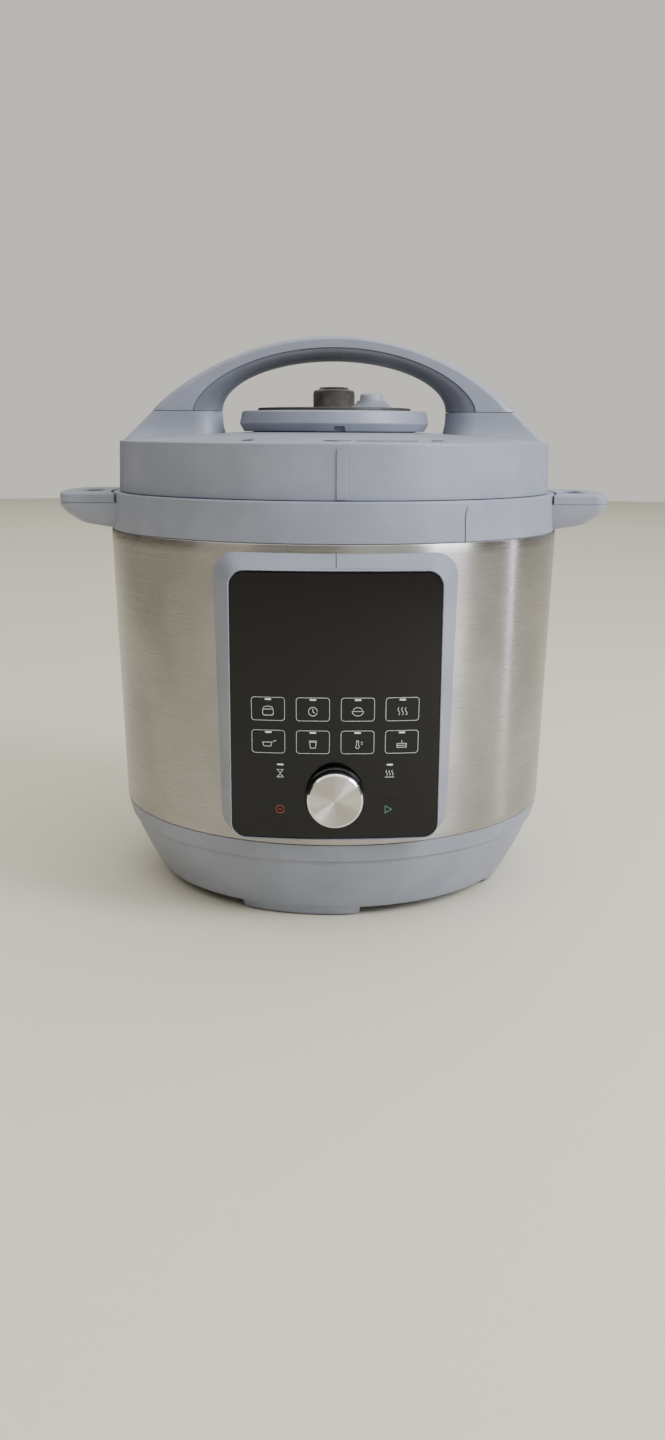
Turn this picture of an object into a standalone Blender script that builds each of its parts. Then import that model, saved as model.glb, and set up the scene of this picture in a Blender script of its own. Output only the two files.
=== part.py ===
"""Electric pressure cooker, 6 litre class, as an assembly of its real pieces.

Metres, +Z up. The front, with the control panel, faces -Y. The origin lies on the
counter under the middle of the cooker. Run it with
blender --background --python part.py, or from Blender's text editor.
"""
import math

import bmesh
import bpy

# --------------------------------------------------------------------------------
# Driving dimensions
# --------------------------------------------------------------------------------
GAP = 0.0003            # between pieces that touch
RUN = 0.0006            # around pieces that slide or turn
SEG_OUT = 48            # sides of the large outer rounds
SEG_IN = 40             # sides of the large inner rounds
SEG_SMALL = 16          # sides of small rounds

# Body
BODY_R = 0.138          # steel wrap at its top edge
BODY_TAPER = 0.0015     # how much narrower the wrap is at its foot
STEEL_H = 0.167
STEEL_T = 0.0008
WALL = 0.0025           # moulded walls
LIP_H = 0.0068          # locating lips that stand inside the steel wrap

# Base housing and feet
PAD_PROUD = 0.0006
FOOT_H = 0.0056
SKIRT_H = 0.0459
BAND_H = 0.0106         # upright band at the top of the skirt
BAND_IN = 0.0035
BAND_STEP = 0.0009
SKIRT_IN = 0.0160       # how far the skirt runs in below its band
SKIRT_BEND = 1.2
FOOT_COUNT = 4
FOOT_FIRST = math.radians(-10.5)   # middle of the first foot, from the front
FOOT_SPAN = math.radians(37)
FOOT_DEPTH = 0.020
PAD_SPAN = math.radians(20)
PAD_DEPTH = 0.0085
PAD_T = 0.0027
COVER_R = 0.0756        # bottom cover
COVER_T = 0.0024
COVER_LEDGE = 0.008
COVER_SCREWS = 3
SCREW_R = 0.0015
SCREW_HEAD_R = 0.0032
SCREW_HEAD_H = 0.0018

# Top ring, moat and side handles
RING_H = 0.0213
RING_TOP_IN = 0.0020    # ring's top edge inside the wrap's radius
RING_BOTTOM_IN = 0.0007
MOAT_FLOOR = 0.0053     # above the ring's underside
HANDLE_REACH = 0.0298   # past the steel wrap, at its middle
HANDLE_HALF_W = 0.043
HANDLE_CORNER = 0.009
HANDLE_SPLIT = 0.0155   # height of the parting line above the ring's underside
HANDLE_RISE = 0.0022    # underside above the ring's, where it leaves the wrap
HANDLE_SLOPE = 0.155    # how fast the underside rises outwards
HANDLE_SLOT = (0.0048, 0.012, 0.040)   # from the wrap, width, length

# Inner liner, flange, heater, pot
POT_R = 0.1113          # outside
POT_T = 0.0008
POT_BASE_T = 0.0025
POT_RIM = 0.0087        # how far the rim turns out
POT_LIFT_Z = 0.0743     # underside of the pot
LINER_SPACE = 0.0027    # between pot and liner
LINER_T = 0.0008
FLANGE_T = 0.0025
LUGS = 8
LUG_W = math.radians(20)
HEATER_R = 0.092
HEATER_T = 0.0078
SENSOR_R = 0.0135
SENSOR_T = 0.0040
SENSOR_STEM_R = 0.0040
SENSOR_TRAVEL = 0.0020

# Lid
LID_IN = 0.0060         # lid wall inside the wrap's radius, at its foot
LID_DRAFT = 0.0014
LID_WALL_H = 0.0285
LID_CROWN = 0.0054      # rise of the lid's top from its wall to the deck
LID_T = 0.0026
LID_KNEE = 0.69         # where the lid's underside bends, as a share of its radius
LID_RIM_W = 0.0060      # rounded rim of the lid's top, on its inside
LID_RIM_DROP = 0.0022
DISC_T = 0.0012
DISC_SPACE = 0.0006     # between the disc's rim and the lid wall
LUG_DEPTH = 0.0027
SEAL_H = 0.011
SEAL_W = 0.0080
RACK_W = 0.0012

# Valve deck on the lid
DECK_R = 0.0578
DECK_H = 0.0115
DECK_CHAMFER = 0.0026
SPIGOT_R = 0.0497
PLATE_R = 0.0466
PLATE_T = 0.0055
PLATE_PROUD = 0.0018
VALVE_XY = (0.0, 0.022)
VALVE_R = 0.0131
VALVE_CAP_R = 0.0090
VALVE_H = 0.0123
VALVE_LIFT = 0.0020
BUTTON_XY = (0.0224, -0.010)
BUTTON_R = 0.0070
BUTTON_COLLAR_R = 0.0135
BUTTON_COLLAR_H = 0.0042
BUTTON_TRAVEL = 0.0040
FLOAT_XY = (-0.0224, -0.010)
FLOAT_R = 0.0025
FLOAT_RISE = 0.0040
PIPE_R = 0.0040

# Lid handle
ARCH_RISE = 0.0418      # arch above its parting line
ARCH_IN = 0.0219        # arch's feet inside the lid's radius
EDGE_RISE = 0.0354      # sharp lower edge of the cover's face
EDGE_IN = 0.0251        # that edge's feet inside the arch's
HOLE_RISE = 0.0281      # finger hole
HOLE_IN = 0.0166        # the hole's feet inside the edge's
BOSS_H = 0.0168         # handle's parting line above the lid wall's top edge
ARCH_HALF_D = 0.0175    # half of the handle's front to back size
BOSS_FLARE = 0.0045
SCREW_IN = 0.0131       # handle screws inside the arch's feet
HANDLE_SCREW_R = 0.0021
HANDLE_SCREW_HEAD_R = 0.0042

# Control panel
PANEL_PROUD = 0.0050    # fascia in front of the steel, at the middle
PANEL_CURVE = 0.325     # radius of the fascia's horizontal curve
FASCIA_W = 0.1145
FACET_W = 0.01145       # width of the flats that follow the panel's curves
FASCIA_H = 0.147
FASCIA_T = 0.003
FASCIA_CORNER = 0.008
FASCIA_FOOT = 0.0064    # fascia's lower edge above the steel's lower edge
BEZEL_SIDE = 0.00975
BEZEL_TOP = 0.0092
BEZEL_FOOT = 0.0028
BEZEL_CORNER = 0.0135
RIM_W = 0.0013
TUNNEL_IN = 0.0060      # bezel's tunnel inside the fascia's edge
TUNNEL_T = 0.002
BOARD_BEHIND = 0.0018   # front of the control board behind the steel beside the tunnel
BOARD_T = 0.0016
KEY_W = 0.0192
KEY_H = 0.0137
KEY_R = 0.0020
KEY_T = 0.0036
KEY_TRAVEL = 0.0006
KEY_X = (-0.0370, -0.0123, 0.0124, 0.0370)
KEY_ROWS = (0.0740, 0.0557)           # above the fascia's lower edge
SOFT_KEYS = {                          # keys without a frame: x, height
    "delay_start_key": (-0.0306, 0.0385),
    "keep_warm_key": (0.0306, 0.0385),
    "cancel_key": (-0.0308, 0.0170),
    "start_key": (0.0300, 0.0170),
}
SOFT_KEY_H = 0.0110
SOFT_KEY_W = 0.0180
SWITCH_H = 0.0035
KNOB_SIDES = 28
KNOB_R = 0.0170
KNOB_FACE_R = 0.0155
KNOB_HEIGHT = 0.0256                   # above the fascia's lower edge
KNOB_LEN = 0.0100
KNOB_FACE_T = 0.0014
KNOB_TRAVEL = 0.0015
SHAFT_R = 0.0030
ENCODER_W = 0.0125
DISPLAY_W = 0.074
DISPLAY_H = 0.040
DISPLAY_HEIGHT = 0.110

# Power board on its posts
POWER_BOARD_X = (-0.103, -0.056)
POWER_BOARD_Y = 0.030
POST_H = 0.0110
POST_R = 0.003
POST_IN = 0.0080        # posts in from the board's edges
POST_PITCH = 0.016

# Rear
COLLECTOR_W = 0.056
COLLECTOR_H = 0.034
COLLECTOR_T = 0.0015
INLET_W = 0.030
INLET_IN = 0.0095                      # inlet's face inside the wrap's radius
INLET_H = 0.022
INLET_HEIGHT = 0.0078                  # above the skirt's underside
SOCKET_W = 0.0240
SOCKET_H = 0.0165
SOCKET_D = 0.017
PIN_LEN = 0.0120

# Levels that follow from the sizes above
Z_SKIRT = PAD_PROUD + FOOT_H
Z_STEEL = Z_SKIRT + SKIRT_H + GAP
Z_POWER_BOARD = Z_SKIRT + WALL + POST_H + GAP
Z_STEEL_TOP = Z_STEEL + STEEL_H
Z_RING = Z_STEEL_TOP + GAP
Z_RING_TOP = Z_RING + RING_H
Z_LID = Z_RING_TOP + GAP
Z_LID_EDGE = Z_LID + LID_WALL_H
Z_LID_TOP = Z_LID_EDGE + LID_CROWN
Z_PARTING = Z_LID_EDGE + BOSS_H
Z_MOAT = Z_RING + MOAT_FLOOR
Z_LINER_LIP = Z_RING_TOP - 0.0078      # underside of the liner's lip
Z_FLANGE = Z_LINER_LIP + LINER_T + GAP
Z_POT_RIM = Z_FLANGE + FLANGE_T + GAP
Z_SEAL = Z_POT_RIM + POT_T + GAP
Z_DISC = Z_SEAL + SEAL_H + 0.0118      # underside of the lid's steel disc
Z_DECK = Z_LID_TOP + GAP
Z_DECK_FLOOR = Z_DECK + DECK_H - PLATE_T + PLATE_PROUD - GAP
Z_PLATE_TOP = Z_DECK_FLOOR + GAP + PLATE_T
Z_FASCIA = Z_STEEL + FASCIA_FOOT
Z_KNOB = Z_FASCIA + KNOB_HEIGHT
Z_LINER = POT_LIFT_Z - GAP - HEATER_T - 0.0042   # underside of the liner's floor

# Radii that follow
LID_R = BODY_R - LID_IN
LID_IN_R = LID_R - LID_T
ARCH_HALF = LID_R - ARCH_IN
EDGE_HALF = ARCH_HALF - EDGE_IN
HOLE_HALF = EDGE_HALF - HOLE_IN
HANDLE_SCREW_X = ARCH_HALF - SCREW_IN
FASCIA_FACETS = round(FASCIA_W / FACET_W)
DISC_R = LID_IN_R - 0.6 * LID_DRAFT - DISC_SPACE   # under the lid wall's drawn-in part
LUG_TIP_R = DISC_R - LUG_DEPTH
FLANGE_LUG_R = LUG_TIP_R - RUN
MOAT_OUT_R = DISC_R + 0.0011
LINER_R = POT_R + LINER_SPACE + LINER_T
LINER_LIP_R = LINER_R + 0.0067
UPSTAND_R = LINER_R + 0.0005
RING_ROOT_R = BODY_R - 0.0024          # inside the ring's wall, where its arms start
PANEL_FRONT = BODY_R + PANEL_PROUD
Y_BOARD = BOARD_BEHIND - math.sqrt(BODY_R ** 2 - (FASCIA_W / 2 - TUNNEL_IN) ** 2)
Y_KNOB_BACK = -(PANEL_FRONT + KNOB_TRAVEL + GAP)
Y_KNOB_FRONT = Y_KNOB_BACK - KNOB_LEN - GAP - KNOB_FACE_T

# --------------------------------------------------------------------------------
# Materials: base colour, roughness, metallic
# --------------------------------------------------------------------------------
FINISHES = {
    "grey_plastic": ((0.30, 0.31, 0.35), 0.45, 0.0),
    "grip_plastic": ((0.25, 0.26, 0.29), 0.55, 0.0),
    "brushed_steel": ((0.62, 0.59, 0.54), 0.30, 1.0),
    "pressed_steel": ((0.66, 0.65, 0.63), 0.22, 1.0),
    "gloss_black": ((0.010, 0.010, 0.012), 0.08, 0.0),
    "dark_plastic": ((0.045, 0.042, 0.040), 0.50, 0.0),
    "valve_plastic": ((0.11, 0.095, 0.080), 0.45, 0.0),
    "clear_white": ((0.70, 0.71, 0.72), 0.25, 0.0),
    "spun_aluminium": ((0.72, 0.70, 0.67), 0.25, 1.0),
    "cast_aluminium": ((0.55, 0.55, 0.55), 0.50, 1.0),
    "silicone": ((0.62, 0.62, 0.60), 0.55, 0.0),
    "rubber": ((0.03, 0.03, 0.03), 0.80, 0.0),
    "circuit_board": ((0.03, 0.16, 0.06), 0.50, 0.0),
    "clear_plastic": ((0.55, 0.58, 0.62), 0.12, 0.0),
    "screw_steel": ((0.50, 0.50, 0.50), 0.35, 1.0),
}


def finish_for(name, finish):
    """One material of its own for each piece, from the finish it is made in."""
    colour, roughness, metallic = FINISHES[finish]
    material = bpy.data.materials.new(name + "_" + finish)
    material.use_nodes = True
    shader = material.node_tree.nodes["Principled BSDF"]
    shader.inputs["Base Color"].default_value = (*colour, 1.0)
    shader.inputs["Roughness"].default_value = roughness
    shader.inputs["Metallic"].default_value = metallic
    return material


# --------------------------------------------------------------------------------
# Shape helpers: each adds one closed shape to a bmesh
# --------------------------------------------------------------------------------
def add_loft(bm, rings, closed=False):
    """Skin a row of equal rings of points, with end faces unless it is closed."""
    loops = [[bm.verts.new(point) for point in ring] for ring in rings]
    pairs = list(zip(loops, loops[1:]))
    if closed:
        pairs.append((loops[-1], loops[0]))
    for one, two in pairs:
        count = len(one)
        for i in range(count):
            j = (i + 1) % count
            bm.faces.new((one[i], one[j], two[j], two[i]))
    if not closed:
        bm.faces.new(reversed(loops[0]))
        bm.faces.new(loops[-1])


def add_prism(bm, outline, low, high, axis="z"):
    """Extrude an outline of (u, v) points along one axis."""
    place = {
        "x": lambda u, v, t: (t, u, v),
        "y": lambda u, v, t: (u, t, v),
        "z": lambda u, v, t: (u, v, t),
    }[axis]
    add_loft(bm, [[place(u, v, t) for u, v in outline] for t in (low, high)])


def add_block(bm, low, high):
    """A box between two corners."""
    outline = [(low[0], low[1]), (high[0], low[1]), (high[0], high[1]), (low[0], high[1])]
    add_prism(bm, outline, low[2], high[2])


def add_round(bm, radius, low, high, centre=(0.0, 0.0), axis="z", segments=SEG_SMALL):
    """A cylinder along one axis."""
    add_prism(bm, circle(radius, centre, segments), low, high, axis)


def add_turned(bm, profile, segments, centre=(0.0, 0.0)):
    """Turn a profile of (radius, height) points about an upright axis.

    A profile whose ends lie on the axis is left open, any other is closed.
    """
    verts = [bm.verts.new((centre[0] + radius, centre[1], height)) for radius, height in profile]
    pairs = list(zip(verts, verts[1:]))
    if profile[0][0] > 0 or profile[-1][0] > 0:
        pairs.append((verts[-1], verts[0]))
    edges = [bm.edges.new(pair) for pair in pairs]
    old = set(bm.verts) - set(verts)
    bmesh.ops.spin(bm, geom=verts + edges, cent=(*centre, 0.0), axis=(0, 0, 1),
                   angle=math.tau, steps=segments, use_merge=True)
    new = [vert for vert in bm.verts if vert not in old]
    bmesh.ops.remove_doubles(bm, verts=new, dist=1e-6)


def circle(radius, centre=(0.0, 0.0), segments=SEG_SMALL):
    """Points of a circle."""
    turns = [math.tau * i / segments for i in range(segments)]
    return [(centre[0] + radius * math.cos(a), centre[1] + radius * math.sin(a)) for a in turns]


def sector(inner, outer, middle, span, steps=4):
    """Outline of a ring's sector, its middle measured from the front towards +X."""
    angles = [middle - span / 2 + span * i / steps for i in range(steps + 1)]
    outside = [polar(outer, a) for a in angles]
    inside = [polar(inner, a) for a in reversed(angles)]
    return outside + inside


def polar(radius, azimuth):
    """Point at an azimuth from the front, positive towards +X."""
    return (radius * math.sin(azimuth), -radius * math.cos(azimuth))


def rounded(half_w, low, high, corner, across=1, steps=3):
    """Upright rounded rectangle of (x, z), with its long level edges split."""
    points = []
    corners = [
        (half_w - corner, high - corner, 0.0),
        (-half_w + corner, high - corner, 0.5 * math.pi),
        (-half_w + corner, low + corner, math.pi),
        (half_w - corner, low + corner, 1.5 * math.pi),
    ]
    for index, (x, z, start) in enumerate(corners):
        for i in range(steps + 1):
            a = start + 0.5 * math.pi * i / steps
            points.append((x + corner * math.cos(a), z + corner * math.sin(a)))
        if index in (0, 2):
            end = points[-1]
            run = -2 * end[0]
            points += [(end[0] + run * i / across, end[1]) for i in range(1, across)]
    return points


def stations(half_w, corner, across, steps=2):
    """Places across a rounded plate: (x, how far its level edges are cut back)."""
    side = []
    for i in range(steps + 1):
        a = 0.5 * math.pi * i / steps
        side.append((half_w - corner + corner * math.cos(a), corner * (1 - math.sin(a))))
    flat = half_w - corner
    middle = [(-flat + 2 * flat * i / across, 0.0) for i in range(1, across)]
    left = [(-x, cut_back) for x, cut_back in side]
    return left + middle + list(reversed(side))


# --------------------------------------------------------------------------------
# Objects
# --------------------------------------------------------------------------------
def make(name, bm):
    """Turn a bmesh into an object with its faces pointing out."""
    bmesh.ops.recalc_face_normals(bm, faces=bm.faces)
    mesh = bpy.data.meshes.new(name)
    bm.to_mesh(mesh)
    bm.free()
    mesh.shade_smooth()
    mesh.set_sharp_from_angle(angle=math.radians(32))
    obj = bpy.data.objects.new(name, mesh)
    bpy.context.scene.collection.objects.link(obj)
    return obj


def piece(name, bm, finish):
    """A real piece of the cooker."""
    obj = make(name, bm)
    obj.data.materials.append(finish_for(name, finish))
    return obj


def tool(target, bm, operation):
    """Cut a shape from a piece, or join one to it, with a hidden tool object."""
    obj = make("tool_" + target.name + "_" + str(len(target.modifiers)), bm)
    obj.hide_render = True
    obj.display_type = "WIRE"
    modifier = target.modifiers.new(operation.lower(), "BOOLEAN")
    modifier.operation = operation
    modifier.solver = "EXACT"
    modifier.object = obj


def cut(target, bm):
    tool(target, bm, "DIFFERENCE")


def join(target, bm):
    tool(target, bm, "UNION")


# --------------------------------------------------------------------------------
# Surfaces that several pieces share
# --------------------------------------------------------------------------------
def steel_r(z):
    """Outside radius of the steel wrap at a height."""
    return BODY_R - BODY_TAPER * (Z_STEEL_TOP - z) / STEEL_H


def steel_y(x, z):
    """Front surface of the steel wrap."""
    return -math.sqrt(steel_r(z) ** 2 - x ** 2)


def panel_y(x):
    """Front surface of the fascia."""
    return -PANEL_FRONT + PANEL_CURVE - math.sqrt(PANEL_CURVE ** 2 - x ** 2)


def arch_point(half, rise, power, angle):
    """Point (x, z) of one of the handle's curves, at an angle from its right foot."""
    return (half * math.cos(angle), Z_PARTING + GAP + rise * abs(math.sin(angle)) ** (2 * power))


def lid_top_z(radius):
    """Top surface of the lid between its wall and the deck."""
    edge = LID_R - LID_DRAFT
    return Z_LID_EDGE + LID_CROWN * (1 - (radius / edge) ** 2) / (1 - (SPIGOT_R / edge) ** 2)


def lid_under_z(radius):
    """Underside of the lid outside its knee."""
    edge = LID_R - LID_DRAFT
    knee = LID_KNEE * edge
    knee_z = lid_top_z(knee) - LID_T
    share = (radius - knee) / (edge - LID_RIM_W - knee)
    return knee_z + share * (Z_LID_EDGE - LID_RIM_DROP - knee_z)


# --------------------------------------------------------------------------------
# Base housing, bottom cover, feet
# --------------------------------------------------------------------------------
def build_base():
    """The moulded base, its floor and four feet with rubber pads."""
    top = Z_STEEL - GAP
    seat_r = steel_r(Z_STEEL)
    lip_r = seat_r - STEEL_T - GAP
    band_z = top - BAND_H
    band_r = seat_r - BAND_IN - BAND_STEP
    foot_r = band_r - SKIRT_IN
    floor = Z_SKIRT + WALL
    rebate = COVER_R + 0.0004
    ledge_z = Z_SKIRT + COVER_T + GAP
    curve = []
    for share in (0.34, 0.70, 1.0):
        z = band_z - BAND_STEP - share * (band_z - BAND_STEP - Z_SKIRT)
        curve.append((band_r - SKIRT_IN * share ** SKIRT_BEND, z))
    profile = [(lip_r, top + LIP_H), (lip_r, top), (seat_r, top), (seat_r - BAND_IN, band_z),
               (band_r, band_z - BAND_STEP)] + curve
    profile += [(rebate, Z_SKIRT), (rebate, ledge_z), (rebate - COVER_LEDGE, ledge_z),
                (rebate - COVER_LEDGE, ledge_z + WALL), (rebate + WALL, ledge_z + WALL),
                (rebate + WALL, floor), (foot_r - WALL, floor),
                (band_r - WALL - 0.001, band_z - BAND_STEP), (lip_r - WALL, top + LIP_H)]
    bm = bmesh.new()
    add_turned(bm, profile, SEG_OUT)
    base = piece("base_housing", bm, "grey_plastic")

    feet = bmesh.new()
    recesses = bmesh.new()
    pad_out = foot_r - 0.005
    for i in range(FOOT_COUNT):
        middle = FOOT_FIRST + math.tau * i / FOOT_COUNT
        rings = []
        for z, shrink in ((PAD_PROUD, 0.0012), (PAD_PROUD + 0.0012, 0.0), (floor - 0.0004, 0.0)):
            outline = sector(foot_r - FOOT_DEPTH + shrink, foot_r - 0.0004 - shrink, middle,
                             FOOT_SPAN - 2 * shrink / foot_r)
            rings.append([(x, y, z) for x, y in outline])
        add_loft(feet, rings)
        outline = sector(pad_out - PAD_DEPTH - GAP, pad_out + GAP, middle,
                         PAD_SPAN + 2 * GAP / pad_out)
        add_prism(recesses, outline, PAD_PROUD - 0.002, PAD_T + GAP)
    join(base, feet)
    cut(base, recesses)
    for i in range(FOOT_COUNT):
        middle = FOOT_FIRST + math.tau * i / FOOT_COUNT
        pad = bmesh.new()
        add_prism(pad, sector(pad_out - PAD_DEPTH, pad_out, middle, PAD_SPAN), 0.0, PAD_T)
        piece(f"foot_pad_{i + 1}", pad, "rubber")

    posts = bmesh.new()
    post_x = POWER_BOARD_X[0] + POST_IN / 2
    post_y = POWER_BOARD_Y - POST_IN
    for x in (post_x, post_x + POST_PITCH):
        for y in (-post_y, post_y):
            add_round(posts, POST_R, floor - 0.0005, Z_POWER_BOARD - GAP, (x, y), segments=10)
    join(base, posts)

    screw_ring = rebate - COVER_LEDGE / 2
    holes = bmesh.new()
    for i in range(COVER_SCREWS):
        spot = polar(screw_ring, math.tau * i / COVER_SCREWS)
        add_round(holes, SCREW_R + GAP, 0.0, ledge_z + 2 * WALL, spot, segments=12)
    cut(base, holes)
    hole = bmesh.new()
    y_wall = steel_r(Z_STEEL)
    add_block(hole, (-INLET_W / 2 - GAP, y_wall - 0.045, Z_SKIRT + INLET_HEIGHT - GAP),
              (INLET_W / 2 + GAP, y_wall + 0.01, Z_SKIRT + INLET_HEIGHT + INLET_H + GAP))
    cut(base, hole)
    build_cover(screw_ring)


def build_cover(screw_ring):
    """The vented bottom cover and its screws."""
    bm = bmesh.new()
    add_round(bm, COVER_R, Z_SKIRT, Z_SKIRT + COVER_T, segments=SEG_IN)
    cover = piece("bottom_cover", bm, "dark_plastic")
    openings = bmesh.new()
    for x in (-0.036, -0.024, -0.012, 0.0, 0.012, 0.024, 0.036):
        half = math.sqrt(0.052 ** 2 - x ** 2)
        add_block(openings, (x - 0.002, -half, 0.0), (x + 0.002, half, Z_SKIRT + 0.01))
    for i in range(COVER_SCREWS):
        spot = polar(screw_ring, math.tau * i / COVER_SCREWS)
        add_round(openings, SCREW_R + GAP, 0.0, Z_SKIRT + 0.01, spot, segments=12)
    cut(cover, openings)
    for i in range(COVER_SCREWS):
        spot = polar(screw_ring, math.tau * i / COVER_SCREWS)
        head = Z_SKIRT - GAP
        profile = [(0, head + COVER_T + WALL), (SCREW_R, head + COVER_T + WALL), (SCREW_R, head),
                   (SCREW_HEAD_R, head), (SCREW_HEAD_R * 0.8, head - SCREW_HEAD_H),
                   (0, head - SCREW_HEAD_H)]
        screw = bmesh.new()
        add_turned(screw, profile, 12, spot)
        piece(f"bottom_screw_{i + 1}", screw, "screw_steel")


# --------------------------------------------------------------------------------
# Steel wrap
# --------------------------------------------------------------------------------
def build_wrap():
    """Brushed steel wrap with the window behind the control panel."""
    top_r = steel_r(Z_STEEL_TOP)
    foot_r = steel_r(Z_STEEL)
    bm = bmesh.new()
    add_turned(bm, [(top_r, Z_STEEL_TOP), (foot_r, Z_STEEL), (foot_r - STEEL_T, Z_STEEL),
                    (top_r - STEEL_T, Z_STEEL_TOP)], SEG_OUT)
    wrap = piece("outer_housing", bm, "brushed_steel")
    half, low, high = tunnel_outline(TUNNEL_T + RUN)
    window = bmesh.new()
    add_prism(window, rounded(half, low, high, 0.004, steps=2), -BODY_R - 0.01, -BODY_R * 0.6, "y")
    cut(wrap, window)


def tunnel_outline(grow):
    """Half width, low and high edge of the bezel's tunnel, grown all round."""
    half = FASCIA_W / 2 - TUNNEL_IN - TUNNEL_T + grow
    low = Z_FASCIA + TUNNEL_IN + TUNNEL_T - grow
    high = Z_FASCIA + FASCIA_H - TUNNEL_IN - TUNNEL_T + grow
    return half, low, high


# --------------------------------------------------------------------------------
# Top ring and side handles
# --------------------------------------------------------------------------------
def handle_outline(root_r, tip_r, half_w, side, corner=HANDLE_CORNER):
    """Plan of a side handle: arcs along the ring and at its tip, joined by round corners."""
    span = math.asin(half_w / root_r)
    points = []
    for i in range(7):
        a = -span + 2 * span * i / 6
        points.append((root_r * math.cos(a), root_r * math.sin(a)))
    middle_y = half_w - corner
    turn = math.asin(middle_y / (tip_r - corner))
    middle_x = (tip_r - corner) * math.cos(turn)
    for i in range(5):
        a = 0.5 * math.pi + (turn - 0.5 * math.pi) * i / 4
        points.append((middle_x + corner * math.cos(a), middle_y + corner * math.sin(a)))
    for i in range(1, 4):
        a = turn * (1 - i / 2)
        points.append((tip_r * math.cos(a), tip_r * math.sin(a)))
    for i in range(1, 5):
        a = -turn + (turn - 0.5 * math.pi) * i / 4
        points.append((middle_x + corner * math.cos(a), corner * math.sin(a) - middle_y))
    return [(side * x, y) for x, y in points]


def handle_under_z(x):
    """Underside of a side handle, which rises outwards from the wrap."""
    return Z_RING + HANDLE_RISE + HANDLE_SLOPE * (abs(x) - BODY_R)


def slot_tool(side):
    """The slot through a side handle that holds the lid on edge."""
    offset, width, length = HANDLE_SLOT
    bm = bmesh.new()
    middle = BODY_R + offset + width / 2
    outline = []
    for end in (1, -1):
        for i in range(5):
            a = math.pi * i / 4 if end > 0 else math.pi + math.pi * i / 4
            y = end * (length / 2 - width / 2) + 0.5 * width * math.sin(a)
            outline.append((side * (middle + 0.5 * width * math.cos(a)), y))
    add_prism(bm, outline, Z_RING - 0.01, Z_RING_TOP + 0.01)
    return bm


def build_ring():
    """The moulded top ring with its moat and the side handles' lower halves."""
    lip_r = steel_r(Z_STEEL_TOP) - STEEL_T - GAP
    profile = [
        (BODY_R - RING_TOP_IN, Z_RING_TOP),
        (BODY_R - RING_BOTTOM_IN, Z_RING),
        (lip_r - 0.0002, Z_RING),
        (lip_r - 0.0002, Z_RING - LIP_H),
        (lip_r - WALL, Z_RING - LIP_H),
        (lip_r - WALL, Z_MOAT - WALL),
        (UPSTAND_R, Z_MOAT - WALL),
        (UPSTAND_R, Z_LINER_LIP - GAP),
        (UPSTAND_R + 0.0032, Z_LINER_LIP - GAP),
        (UPSTAND_R + 0.0032, Z_MOAT),
        (MOAT_OUT_R, Z_MOAT),
        (MOAT_OUT_R, Z_RING_TOP),
    ]
    bm = bmesh.new()
    add_turned(bm, profile, SEG_OUT)
    ring = piece("top_ring", bm, "grey_plastic")
    split = Z_RING + HANDLE_SPLIT
    tip = BODY_R + HANDLE_REACH
    for side in (1, -1):
        rings = []
        for share, shrink in ((0.0, 0.0115), (0.12, 0.0085), (0.35, 0.0046), (0.65, 0.0013),
                              (1.0, 0.0)):
            outline = handle_outline(RING_ROOT_R, tip - shrink, HANDLE_HALF_W - 0.4 * shrink, side)
            rings.append([(x, y, split + (1 - share) * (handle_under_z(x) - split))
                          for x, y in outline])
        lower = bmesh.new()
        add_loft(lower, rings)
        join(ring, lower)
        cut(ring, slot_tool(side))
        caps = []
        wall_r = BODY_R - RING_BOTTOM_IN + GAP
        for z, shrink in ((split + GAP, 0.0), (Z_RING_TOP - 0.0014, 0.0002),
                          (Z_RING_TOP - 0.0002, 0.0014)):
            outline = handle_outline(wall_r, tip - shrink, HANDLE_HALF_W - shrink, side,
                                     HANDLE_CORNER - 0.6 * shrink)
            caps.append([(x, y, z) for x, y in outline])
        bm = bmesh.new()
        add_loft(bm, caps)
        cap = piece("handle_cap_right" if side > 0 else "handle_cap_left", bm, "grey_plastic")
        cut(cap, slot_tool(side))
    build_drain(ring)


def build_drain(ring):
    """Spout and shelf at the ring's rear, and the cup that hangs on them."""
    wall_y = BODY_R
    rear = -Y_KNOB_FRONT
    half = COLLECTOR_W / 2
    shelf = Z_RING + 0.0060
    arms = bmesh.new()
    root_y = math.sqrt(RING_ROOT_R ** 2 - (half + GAP) ** 2)
    for side in (1, -1):
        low_x, high_x = sorted((side * (half + GAP), side * (half + 0.0045)))
        add_block(arms, (low_x, root_y, shelf - 0.004), (high_x, rear - 0.004, shelf))
    add_block(arms, (-0.006, RING_ROOT_R, shelf - 0.001), (0.006, wall_y + 0.008, shelf + 0.007))
    join(ring, arms)
    channel = bmesh.new()
    add_block(channel, (-0.004, MOAT_OUT_R - 0.002, shelf + 0.001),
              (0.004, wall_y + 0.009, shelf + 0.0045))
    cut(ring, channel)

    low = shelf + 0.002 + GAP - COLLECTOR_H
    near = wall_y + 2 * GAP
    bm = bmesh.new()
    add_block(bm, (-half, near, low), (half, rear, shelf + GAP + 0.002))
    cup = piece("condensation_collector", bm, "clear_plastic")
    rim = bmesh.new()
    add_block(rim, (-half - 0.0036, near + 0.0015, shelf + GAP),
              (half + 0.0036, rear, shelf + GAP + 0.002))
    join(cup, rim)
    hollow = bmesh.new()
    add_block(hollow, (-half + COLLECTOR_T, near + COLLECTOR_T, low + COLLECTOR_T),
              (half - COLLECTOR_T, rear - COLLECTOR_T, Z_RING_TOP + 0.01))
    cut(cup, hollow)
    notch = bmesh.new()
    add_block(notch, (-0.009, near - 0.01, shelf - 0.0025), (0.009, near + 0.006, Z_RING_TOP))
    cut(cup, notch)


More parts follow.
